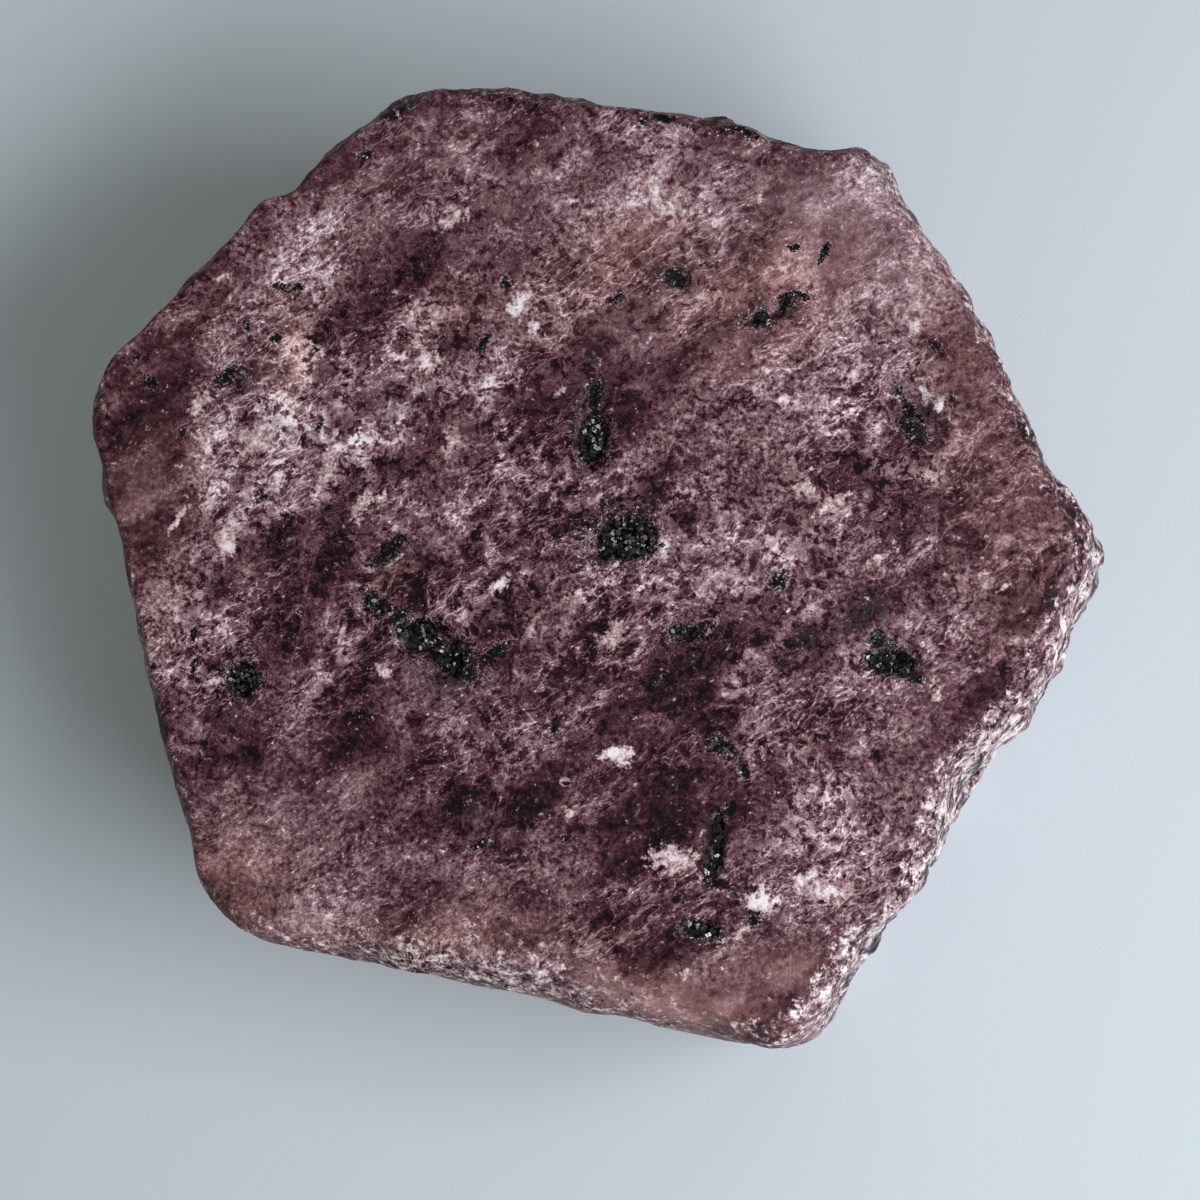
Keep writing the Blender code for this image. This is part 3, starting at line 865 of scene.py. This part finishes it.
def crystal_surface(material):
    """The whole crystal as one closed surface, with fields that say what lies where on it."""
    ring = 4 * CAP_STEPS
    points, outward, station = outline(ring)
    side, depth = side_surface(station, points, outward)
    cap, cap_around, cap_inland = sawn_cap(side[0])
    shrink = np.linspace(1, 0, FOOT_RINGS + 1)[1:-1, None, None]
    lower = side[-1] * shrink
    rows = len(side) - 1 + len(lower)
    surface = np.vstack((cap, side[1:].reshape(-1, 3), lower.reshape(-1, 3), np.zeros((1, 3))))
    below_cap = np.concatenate((depth[1:].ravel(), np.full(lower[..., 0].size + 1, HEIGHT)))
    all_depth = np.concatenate((np.zeros(len(cap)), below_cap))
    all_inland = np.concatenate((cap_inland, np.zeros(len(below_cap))))
    turned = np.concatenate((cap_around, np.tile(np.arange(ring), rows), [0]))
    all_station = np.interp(turned, np.arange(ring + 1), np.unwrap((*station, station[0]), period=SIDES))
    fields = surface_fields(surface, all_station % SIDES, all_depth, all_inland)
    sawn = np.clip(1 - all_depth / RIM_BAND, 0, 1)
    waves = sum(amount * (1 - noise_3d(surface, size, seed)) for amount, size, seed in TOP_WAVES)
    surface[:, 2] -= sawn * (waves + pit_floor(surface))
    return new_piece("crystal_surface", surface, crystal_faces(rows, ring), material, fields)


# ---------------------------------------------------------------- materials


def add_node(tree, kind, sockets=None, stops=(), **settings):
    """Adds one node to a material: its settings, its colour ramp's stops, and its inputs by name or
    number, each from a value, an output, or another node's first output."""
    node = tree.nodes.new("ShaderNode" + kind)
    for setting, value in settings.items():
        setattr(node, setting, value)
    for number, (position, colour) in enumerate(stops):
        elements = node.color_ramp.elements
        element = elements[-number] if number < 2 else elements.new(position)
        element.position = position
        element.color = colour
    for key, source in (sockets or {}).items():
        named = [socket for socket in node.inputs if socket.enabled and socket.name == key]
        socket = named[0] if named else node.inputs[key]
        if isinstance(source, bpy.types.Node):
            source = next(output for output in source.outputs if output.enabled)
        if isinstance(source, bpy.types.NodeSocket):
            tree.links.new(source, socket)
        else:
            socket.default_value = source
    return node


def step_up(make, value, low, high):
    """0 below one value of a pattern, 1 above another and a smooth step between; the other way about
    where the first value is the higher."""
    sockets = {"Value": value, "From Min": low, "From Max": high}
    return make("MapRange", sockets, interpolation_type="SMOOTHSTEP")


def threads(make, waves, width):
    """Pale threads, 1 along them: where a noise crosses its middle value, to either side by a width."""
    above = make("Math", {0: waves, 1: 0.5}, operation="SUBTRACT")
    return step_up(make, make("Math", {0: above}, operation="ABSOLUTE"), width, 0)


def ragged(make, field, waves, amount, softness):
    """A field's patches with ragged edges: 1 where the field plus an amount of noise is above 0."""
    lifted = make("Math", {0: waves, 1: amount, 2: field}, operation="MULTIPLY_ADD")
    return step_up(make, lifted, amount / 2 - softness, amount / 2 + softness)


def scratch_lines(make, place):
    """The named cracks and scratches: each is a long thin ellipse, from its paleness at the middle to 0.
    The ellipse is set in the gradient's own mapping, which is quicker to render than a node for each."""
    total = 0.0
    for x, y, end_x, end_y, half_width, paleness in SCRATCHES:
        half_length = math.hypot(end_x - x, end_y - y) / 2
        line = make("TexGradient", {"Vector": place}, gradient_type="SPHERICAL")
        ellipse = line.texture_mapping
        ellipse.vector_type = "TEXTURE"
        ellipse.translation = ((x + end_x) / 2, (y + end_y) / 2, HEIGHT)
        ellipse.rotation = (0, 0, math.atan2(end_y - y, end_x - x))
        ellipse.scale = (half_length, half_width, HEIGHT)
        total = make("Math", {0: line, 1: paleness, 2: total}, operation="MULTIPLY_ADD")
    return total


def ruby_lightness(make, place, curled, grained, fine, coarse, fields):
    """Lightness of the sawn ruby, as a share of white: a cloudy base and the named zones, some broad ones of
    which are painted light, plus layers of curly and straighter pale threads, more threads close round the
    mica, dark cells of two sizes with pale walls, crisp dark and pale marks, light and dark grains, pale
    specks of dust and painted glints, and the named scratches. A layer adds its pattern times where it
    lies, how strong it is there and its amount."""
    clouds = make("TexNoise", {"Vector": grained, "Scale": 1 / CLOUD, "Detail": 4, "Roughness": 0.85})
    offset = RUBY_LIGHTNESS - CLOUD_CONTRAST / 2
    light = make("Math", {0: clouds, 1: CLOUD_CONTRAST, 2: offset}, operation="MULTIPLY_ADD")
    # The named zones: mostly the ruby's tone, and in some broad ones a painted sheen over the upper part and
    # painted shade at the lower left.
    light = make("Math", {0: light, 1: fields["lightness"]}, operation="ADD")

    where = make("TexNoise", {"Vector": grained, "Scale": 1 / VEIN_PATCH, "Detail": 0})
    where = make("SeparateXYZ", {"Vector": where.outputs["Color"]})
    masks = [step_up(make, where.outputs[number], 0.42, 0.60) for number in range(3)]
    rough = make("Math", {0: 1.0, 1: fields["smoothness"]}, operation="SUBTRACT", use_clamp=True)
    net = make("Math", {0: fields["veining"], 1: 0.75, 2: 0.35}, operation="MULTIPLY_ADD")
    net = make("Math", {0: net, 1: rough}, operation="MULTIPLY")

    curly = make("TexNoise", {"Vector": curled, "Scale": 1 / CURLY_THREAD, "Detail": 3, "Roughness": 0.62})
    straight = {"Vector": grained, "Rotation": (0, 0, 0), "Scale": (STRAIGHTER, 1, 1)}
    straight = make("Mapping", straight, vector_type="TEXTURE")
    straight = {"Vector": straight, "Scale": 1 / STRAIGHT_THREAD, "Detail": 3, "Roughness": 0.65}
    straight = make("TexNoise", straight)
    cells = make("TexVoronoi", {"Vector": curled, "Scale": 1 / CELL})
    small_cells = make("TexVoronoi", {"Vector": curled, "Scale": 1 / SMALL_CELL})
    broken = step_up(make, coarse, 0.44, 0.56)
    wall = make("Math", {0: step_up(make, cells, 0.46, 0.72), 1: broken}, operation="MULTIPLY")
    small_wall = make("Math", {0: step_up(make, small_cells, 0.44, 0.74), 1: broken}, operation="MULTIPLY")
    dust_and_glints = make("TexNoise", {"Vector": grained, "Scale": 1 / DUST_AND_GLINT, "Detail": 0})
    grains = make("Math", {0: fine, 1: 0.5}, operation="SUBTRACT")
    drifts = step_up(make, clouds, 0.44, 0.60)
    fringe = step_up(make, fields["mica"], -1.1, -0.2)
    layers = (
        (threads(make, curly, 0.030), masks[0], net, 0.34),
        (threads(make, straight, 0.035), masks[1], rough, 0.30),
        (threads(make, coarse, 0.012), 1.0, net, 0.40),
        (threads(make, coarse, 0.03), fringe, 1.0, 0.26),
        (wall, masks[2], net, 0.36),
        (small_wall, masks[0], net, 0.26),
        (step_up(make, cells, 0.46, 0.26), masks[0], net, -0.18),
        (step_up(make, small_cells, 0.44, 0.20), masks[2], net, -0.16),
        (step_up(make, coarse, 0.48, 0.40), 1.0, rough, -0.12),
        (step_up(make, coarse, 0.54, 0.62), masks[1], rough, 0.10),
        (grains, 1.0, 1.0, 0.42),
        (grains, drifts, rough, 0.90),
        # Pale specks of dust and painted glints.
        (step_up(make, dust_and_glints, 0.70, 0.82), masks[1], 1.0, 0.32),
        (scratch_lines(make, place), 1.0, 1.0, 0.38),
    )
    for pattern, place_mask, strength, amount in layers:
        shown = make("Math", {0: pattern, 1: place_mask}, operation="MULTIPLY")
        shown = make("Math", {0: shown, 1: strength}, operation="MULTIPLY")
        light = make("Math", {0: shown, 1: amount, 2: light}, operation="MULTIPLY_ADD")
    return light


def shades(table):
    """A table of positions and sRGB colours as the stops of a colour ramp."""
    return [(position, linear(code)) for position, code in table]


def ruby_material(settings):
    """Corundum, sawn: nearly opaque and matt, mauve red, with paler veins, black mica and feldspar.
    The saw leaves it dull, so light lies softly on it and only its grains and mica glint; much of that glint
    is painted as pale specks in its colour."""
    material = bpy.data.materials.new("sawn_ruby_corundum")
    material.use_nodes = True
    tree = material.node_tree
    surface = tree.nodes["Principled BSDF"]
    make = functools.partial(add_node, tree)
    fields = {name: make("Attribute", attribute_name=name).outputs["Fac"] for name in FIELDS}

    metres = make("TexCoord").outputs["Object"]
    place = make("VectorMath", {0: metres, "Scale": 1 / MM}, operation="SCALE")
    bend = make("TexNoise", {"Vector": place, "Scale": 1 / CURL_SIZE, "Detail": 1})
    bend = make("VectorMath", {0: bend.outputs["Color"], 1: (0.5, 0.5, 0.5)}, operation="SUBTRACT")
    curl = {0: bend, 1: (CURL_AMOUNT,) * 3, 2: place}
    curled = make("VectorMath", curl, operation="MULTIPLY_ADD")
    grain = {"Rotation": (0, 0, math.radians(GRAIN_TURN)), "Scale": (GRAIN_STRETCH, 1, 1)}
    grained = make("Mapping", {"Vector": curled, **grain}, vector_type="TEXTURE")

    fine = make("TexNoise", {"Vector": place, "Scale": 1 / FINE_GRAIN, "Detail": 2, "Roughness": 0.75})
    coarse = make("TexNoise", {"Vector": curled, "Scale": 1 / COARSE_GRAIN, "Detail": 3, "Roughness": 0.75})
    light = ruby_lightness(make, place, curled, grained, fine, coarse, fields)
    ruby = make("ValToRGB", {"Fac": light}, shades(RUBY_SHADES))
    warmth = make("Math", {0: fields["warmth"], 1: 0.7}, operation="MULTIPLY")
    tint = {"Factor": warmth, "A": ruby, "B": settings.warm_tint}
    colour = make("Mix", tint, data_type="RGBA", blend_type="COLOR")

    hazy = make("Math", {0: step_up(make, coarse, 0.42, 0.56), 1: fields["haze"]}, operation="MULTIPLY")
    colour = make("Mix", {"Factor": hazy, "A": colour, "B": linear(HAZE_GREY)}, data_type="RGBA")

    torn = make("Mix", {"Factor": 0.4, "A": coarse, "B": fine})
    pale = ragged(make, fields["feldspar"], torn, 4.2, 0.25)
    white = make("Math", {0: torn, 1: 4.5, 2: -2.2}, operation="MULTIPLY_ADD")
    white = make("Math", {0: white, 1: fields["whiteness"]}, operation="ADD")
    feldspar = make("ValToRGB", {"Fac": white}, shades(FELDSPAR_SHADES))
    colour = make("Mix", {"Factor": pale, "A": colour, "B": feldspar}, data_type="RGBA")

    black = ragged(make, fields["mica"], torn, 7.5, 0.15)
    # The mica's colour, whose palest specks are painted glints.
    mica = make("ValToRGB", {"Fac": fine}, shades(MICA_AND_GLINT_SHADES))
    colour = make("Mix", {"Factor": black, "A": colour, "B": mica}, data_type="RGBA")

    crusted = ragged(make, fields["crust"], torn, 7.5, 0.5)
    layered = make("Mapping", {"Vector": curled, "Scale": (1, 1, 1 / CRUST_LAYERING)}, vector_type="TEXTURE")
    flakes = make("TexNoise", {"Vector": layered, "Scale": 1 / CRUST_FLAKE, "Detail": 3, "Roughness": 0.8})
    crust = make("ValToRGB", {"Fac": flakes}, shades(CRUST_SHADES))
    silver = make("ValToRGB", {"Fac": flakes}, shades(SILVER_SHADES))
    flaky = make("TexNoise", {"Vector": layered, "Scale": 1 / SILVER_PATCH, "Detail": 1})
    thick = step_up(make, fields["crust"], 0.3, 0.7)
    bared = make("Math", {0: step_up(make, flaky, 0.54, 0.60), 1: thick}, operation="MULTIPLY")
    crust = {"Factor": bared, "A": crust, "B": silver}
    crust = make("Mix", crust, data_type="RGBA").outputs[2]
    colour = make("Mix", {"Factor": crusted, "A": colour, "B": crust}, data_type="RGBA")

    roughness = make("Math", {0: fine, 1: 0.3, 2: 0.42}, operation="MULTIPLY_ADD")
    roughness = make("Mix", {"Factor": black, "A": roughness, "B": 0.28})
    roughness = make("Mix", {"Factor": crusted, "A": roughness, "B": 0.7})
    bump = make("Bump", {"Height": fine, "Distance": RELIEF * MM, "Strength": 1.0})

    tree.links.new(colour.outputs[2], surface.inputs["Base Color"])
    tree.links.new(roughness.outputs[0], surface.inputs["Roughness"])
    tree.links.new(bump.outputs[0], surface.inputs["Normal"])
    surface.inputs["IOR"].default_value = 1.76
    # Below the usual 0.5: with more gloss a pale veil lay over the darks.
    surface.inputs["Specular IOR Level"].default_value = 0.1
    return material


def mica_material():
    """Biotite mica, cleaved: thin black plates with a glassy lustre, some weathered grey or silver, and the
    palest shades are painted glints.
    """
    material = bpy.data.materials.new("cleaved_black_mica")
    material.use_nodes = True
    tree = material.node_tree
    surface = tree.nodes["Principled BSDF"]
    make = functools.partial(add_node, tree)
    place = make("TexCoord").outputs["Object"]
    weathered_and_glinting = make("Attribute", attribute_name="weathering_and_glint").outputs["Fac"]
    fine = make("TexNoise", {"Vector": place, "Scale": 1 / (MICA_GRAIN * MM), "Detail": 3, "Roughness": 0.7})
    spread = make("Math", {0: fine, 1: 0.5, 2: -0.25}, operation="MULTIPLY_ADD")
    # The plate's weathering and glint: the pale end of these shades is painted glint.
    shade = make("Math", {0: weathered_and_glinting, 1: spread}, operation="ADD")
    colour = make("ValToRGB", {"Fac": shade}, shades(BOOK_AND_GLINT_SHADES))
    bump = make("Bump", {"Height": fine, "Distance": 0.02 * MM, "Strength": 0.6})
    tree.links.new(colour.outputs[0], surface.inputs["Base Color"])
    tree.links.new(bump.outputs[0], surface.inputs["Normal"])
    surface.inputs["Roughness"].default_value = 0.3
    surface.inputs["IOR"].default_value = 1.6
    return material


# ---------------------------------------------------------------- mica books


def plate_points(centres, radii, thickness, tilts):
    """Six-sided plates: corner k of a plate is its radius there turned by 60k degrees, above and below
    its middle by half its thickness, then tipped so that its face leans by the tilt's x and y."""
    angles = np.arange(6) * math.pi / 3
    flat = radii[..., None] * np.column_stack((np.cos(angles), np.sin(angles)))
    lean = np.sum(flat * tilts[:, None], axis=2)
    faces = [np.dstack((flat, lean + half * thickness[:, None])) for half in (0.5, -0.5)]
    return np.concatenate(faces, axis=1) + centres[:, None]


def plate_faces(count):
    """The faces of so many six-sided plates, each of twelve points: top, underside and six edges."""
    k = np.arange(6)
    beside = (k + 1) % 6
    edges = np.column_stack((k, k + 6, beside + 6, beside)).tolist()
    shape = [list(range(6)), list(range(11, 5, -1)), *edges]
    return [[number + 12 * plate for number in face] for plate in range(count) for face in shape]


def mica_books(material, density, size):
    """Mica left in the pits: plates scattered over each black patch, leaning together within one patch,
    sunk to the pit's floor and cut off by the saw where they would stand out of the face."""
    random = np.random.default_rng(90)
    centres, radii, thickness, tilts, weathering_and_glint = [], [], [], [], []
    for x, y, half_length, half_width, turn in MICA:
        if half_width < LEAST_BOOK_PATCH:
            continue
        count = int(math.pi * half_length * half_width * density)
        angle = random.uniform(0, 2 * math.pi, count)
        reach = np.sqrt(random.uniform(0, 0.9, count))
        along, across = reach * np.cos(angle) * half_length, reach * np.sin(angle) * half_width
        cos, sin = math.cos(math.radians(turn)), math.sin(math.radians(turn))
        sunk = random.uniform(0.02, 0.5, count) * (1 - reach**2)
        middle = (x + cos * along - sin * across, y + sin * along + cos * across, HEIGHT - 0.05 - sunk)
        centres.append(np.column_stack(middle))
        longer = 1 + 1.4 * np.abs(np.cos(np.arange(6) * math.pi / 3 - random.uniform(0, math.pi, (count, 1))))
        outline = random.uniform(0.3, 0.6, (count, 6)) * random.uniform(0.4, 1.0, (count, 1))
        radii.append(outline * longer * size)
        thickness.append(random.uniform(0.02, 0.08, count))
        tilts.append(random.uniform(-0.35, 0.35, 2) + random.uniform(-0.7, 0.7, (count, 2)))
        # Each plate's weathering and glint: its pale end is weathered grey and painted glint in the colour.
        weathering_and_glint.append(random.uniform(0, 1, count))
    centres = np.concatenate(centres)
    kept = patch_field(ragged_place(centres), MICA) > 0.25
    plates = [np.concatenate(values)[kept] for values in (radii, thickness, tilts)]
    points = plate_points(centres[kept], *plates)
    sawn_level = HEIGHT - np.where(np.arange(12) < 6, 0.01, 0.02)  # a cut plate keeps a thickness
    points[..., 2] = np.minimum(points[..., 2], sawn_level)
    fields = {"weathering_and_glint": np.repeat(np.concatenate(weathering_and_glint)[kept], 12)}
    faces = plate_faces(len(points))
    return new_piece("mica_books", points.reshape(-1, 3), faces, material, fields, smooth=False)


# ---------------------------------------------------------------- the studio


def studio_floor(settings):
    """A pale honed floor, level with the crystal's lower face."""
    material = bpy.data.materials.new("pale_honed_floor")
    material.use_nodes = True
    surface = material.node_tree.nodes["Principled BSDF"]
    surface.inputs["Base Color"].default_value = settings.floor_colour
    surface.inputs["Roughness"].default_value = 0.7
    half = settings.floor_size / 2
    corners = np.array([(-half, -half, 0), (half, -half, 0), (half, half, 0), (-half, half, 0)])
    return new_piece("studio_floor", corners / MM, [[0, 1, 2, 3]], material, smooth=False)


def studio_lights(settings):
    """One large soft window light from the side, and an even pale sky."""
    window = bpy.data.lights.new("window", "AREA")
    window.shape = "RECTANGLE"
    window.size = settings.window_width
    window.size_y = settings.window_height
    window.energy = settings.window_power
    window.color = settings.window_colour[:3]
    stand = bpy.data.objects.new("window", window)
    stand.location = settings.window_place
    stand.rotation_euler = Vector(settings.window_place).to_track_quat("Z", "Y").to_euler()
    bpy.context.scene.collection.objects.link(stand)
    sky = bpy.data.worlds.new("sky")
    sky.use_nodes = True
    background = sky.node_tree.nodes["Background"]
    background.inputs["Color"].default_value = settings.sky_colour
    background.inputs["Strength"].default_value = settings.sky_strength
    bpy.context.scene.world = sky


def studio_camera(settings):
    """The camera, which looks almost straight down on the sawn face, with +Y up in its frame."""
    view = bpy.data.cameras.new("camera")
    view.lens = settings.lens
    view.clip_start = 0.01
    turn, rise = settings.camera_turn, settings.camera_rise
    back = Vector((math.sin(turn) * math.cos(rise), -math.cos(turn) * math.cos(rise), math.sin(rise)))
    right = Vector((0, 1, 0)).cross(back).normalized()
    stand = bpy.data.objects.new("camera", view)
    place = Vector(settings.camera_target) + back * settings.camera_distance
    turned = Matrix((right, back.cross(right), back)).transposed().to_4x4()
    stand.matrix_world = Matrix.Translation(place) @ turned
    bpy.context.scene.collection.objects.link(stand)
    bpy.context.scene.camera = stand


# ---------------------------------------------------------------- the add-on


def colour_setting(name, description, default):
    """A colour that a user can change, as linear red, green, blue and alpha."""
    shape = {"size": 4, "min": 0, "max": 1, "subtype": "COLOR"}
    return FloatVectorProperty(name=name, description=description, default=default, **shape)


def length_setting(name, description, default):
    """A length that a user can change, in metres."""
    unit = {"unit": "LENGTH", "subtype": "DISTANCE"}
    return FloatProperty(name=name, description=description, default=default, **unit)


def place_setting(name, description, default):
    """A place that a user can change, in metres."""
    unit = {"unit": "LENGTH", "subtype": "TRANSLATION"}
    return FloatVectorProperty(name=name, description=description, default=default, **unit)


def angle_setting(name, description, degrees):
    """An angle that a user can change."""
    unit = {"unit": "ROTATION", "subtype": "ANGLE"}
    return FloatProperty(name=name, description=description, default=math.radians(degrees), **unit)


class RubySettings(bpy.types.PropertyGroup):
    """Sizes and colours of the crystal."""

    warm_tint: colour_setting("Warm tint", "Colour of the salmon and brown places", linear("#a8736b"))
    book_size: length_setting("Mica book radius", "Largest radius of a mica plate", 0.18 * MM)
    book_density: FloatProperty(
        name="Mica books per square mm",
        description="How many mica plates lie on a square millimetre of a black patch",
        default=42.0,
        min=0.0,
    )


class StudioSettings(bpy.types.PropertyGroup):
    """The floor, lights and camera."""

    floor_colour: colour_setting("Floor", "Colour of the floor", linear("#cfdade"))
    floor_size: length_setting("Floor size", "Side of the square floor", 1.6)
    window_place: place_setting(
        "Window place", "Middle of the window light, which faces the crystal", (0.18, -0.08, 0.19)
    )
    window_width: length_setting("Window width", "Width of the window light", 0.24)
    window_height: length_setting("Window height", "Height of the window light", 0.10)
    window_power: FloatProperty(
        name="Window power", description="Power of the window light", default=0.78, min=0.0, unit="POWER"
    )
    window_colour: colour_setting("Window colour", "Colour of the window light", (0.92, 0.93, 1.0, 1.0))
    sky_colour: colour_setting("Sky colour", "Colour of the light from all round", linear("#fafaf7"))
    sky_strength: FloatProperty(
        name="Sky strength", description="Strength of the light from all round", default=0.28, min=0.0
    )
    lens: FloatProperty(
        name="Lens", description="Focal length of the camera", default=130.19, unit="CAMERA", min=10.0
    )
    camera_target: place_setting(
        "Camera target", "Point that the camera looks at", (1.3 * MM, -2.6 * MM, HEIGHT * MM)
    )
    camera_distance: length_setting("Camera distance", "From the camera to its target", 0.23)
    camera_turn: angle_setting(
        "Camera turn", "Where the camera stands round the crystal: 0 is at -Y and 90 at +X", 50
    )
    camera_rise: angle_setting("Camera rise", "How high the camera stands above the horizon", 76)


class OBJECT_OT_crystal_surface(bpy.types.Operator):
    """Build the crystal's fine sawn and natural surface, which stands for its solid"""

    bl_idname = "object.ruby_crystal_surface"
    bl_label = "Crystal surface"
    bl_options = {"UNDO"}

    def execute(self, context):
        piece = crystal_surface(ruby_material(context.scene.ruby_settings))
        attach(piece, "root")
        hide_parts(NODE)
        return {"FINISHED"}


class OBJECT_OT_mica_books(bpy.types.Operator):
    """Build the black mica plates that are left in the crystal's pits"""

    bl_idname = "object.ruby_mica_books"
    bl_label = "Mica books"
    bl_options = {"UNDO"}

    def execute(self, context):
        settings = context.scene.ruby_settings
        piece = mica_books(mica_material(), settings.book_density, settings.book_size / MM)
        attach(piece, "root")
        return {"FINISHED"}


class OBJECT_OT_studio(bpy.types.Operator):
    """Build the pale floor, the soft lights and the camera"""

    bl_idname = "object.ruby_studio"
    bl_label = "Studio"
    bl_options = {"UNDO"}

    def execute(self, context):
        settings = context.scene.ruby_studio
        studio_floor(settings)
        studio_lights(settings)
        studio_camera(settings)
        context.scene.view_settings.view_transform = "Standard"
        return {"FINISHED"}


class VIEW3D_PT_ruby_crystal(bpy.types.Panel):
    """Lists what the add-on builds, and its settings."""

    bl_label = "Ruby crystal"
    bl_space_type = "VIEW_3D"
    bl_region_type = "UI"
    bl_category = "Ruby crystal"

    def draw(self, context):
        column = self.layout.column()
        for operator in OPERATORS:
            column.operator(operator.bl_idname)
        for settings in (context.scene.ruby_settings, context.scene.ruby_studio):
            for name in settings.__annotations__:
                column.prop(settings, name)


OPERATORS = (OBJECT_OT_crystal_surface, OBJECT_OT_mica_books, OBJECT_OT_studio)
CLASSES = (RubySettings, StudioSettings, *OPERATORS, VIEW3D_PT_ruby_crystal)


def register():
    """Adds the classes to Blender and their settings to its scenes."""
    for kind in CLASSES:
        bpy.utils.register_class(kind)
    bpy.types.Scene.ruby_settings = PointerProperty(type=RubySettings)
    bpy.types.Scene.ruby_studio = PointerProperty(type=StudioSettings)


def unregister():
    """Takes away what register adds."""
    del bpy.types.Scene.ruby_settings
    del bpy.types.Scene.ruby_studio
    for kind in reversed(CLASSES):
        bpy.utils.unregister_class(kind)


def main():
    """Builds every piece and the studio."""
    register()
    bpy.ops.object.ruby_crystal_surface()
    bpy.ops.object.ruby_mica_books()
    bpy.ops.object.ruby_studio()


if __name__ == "__main__":
    main()
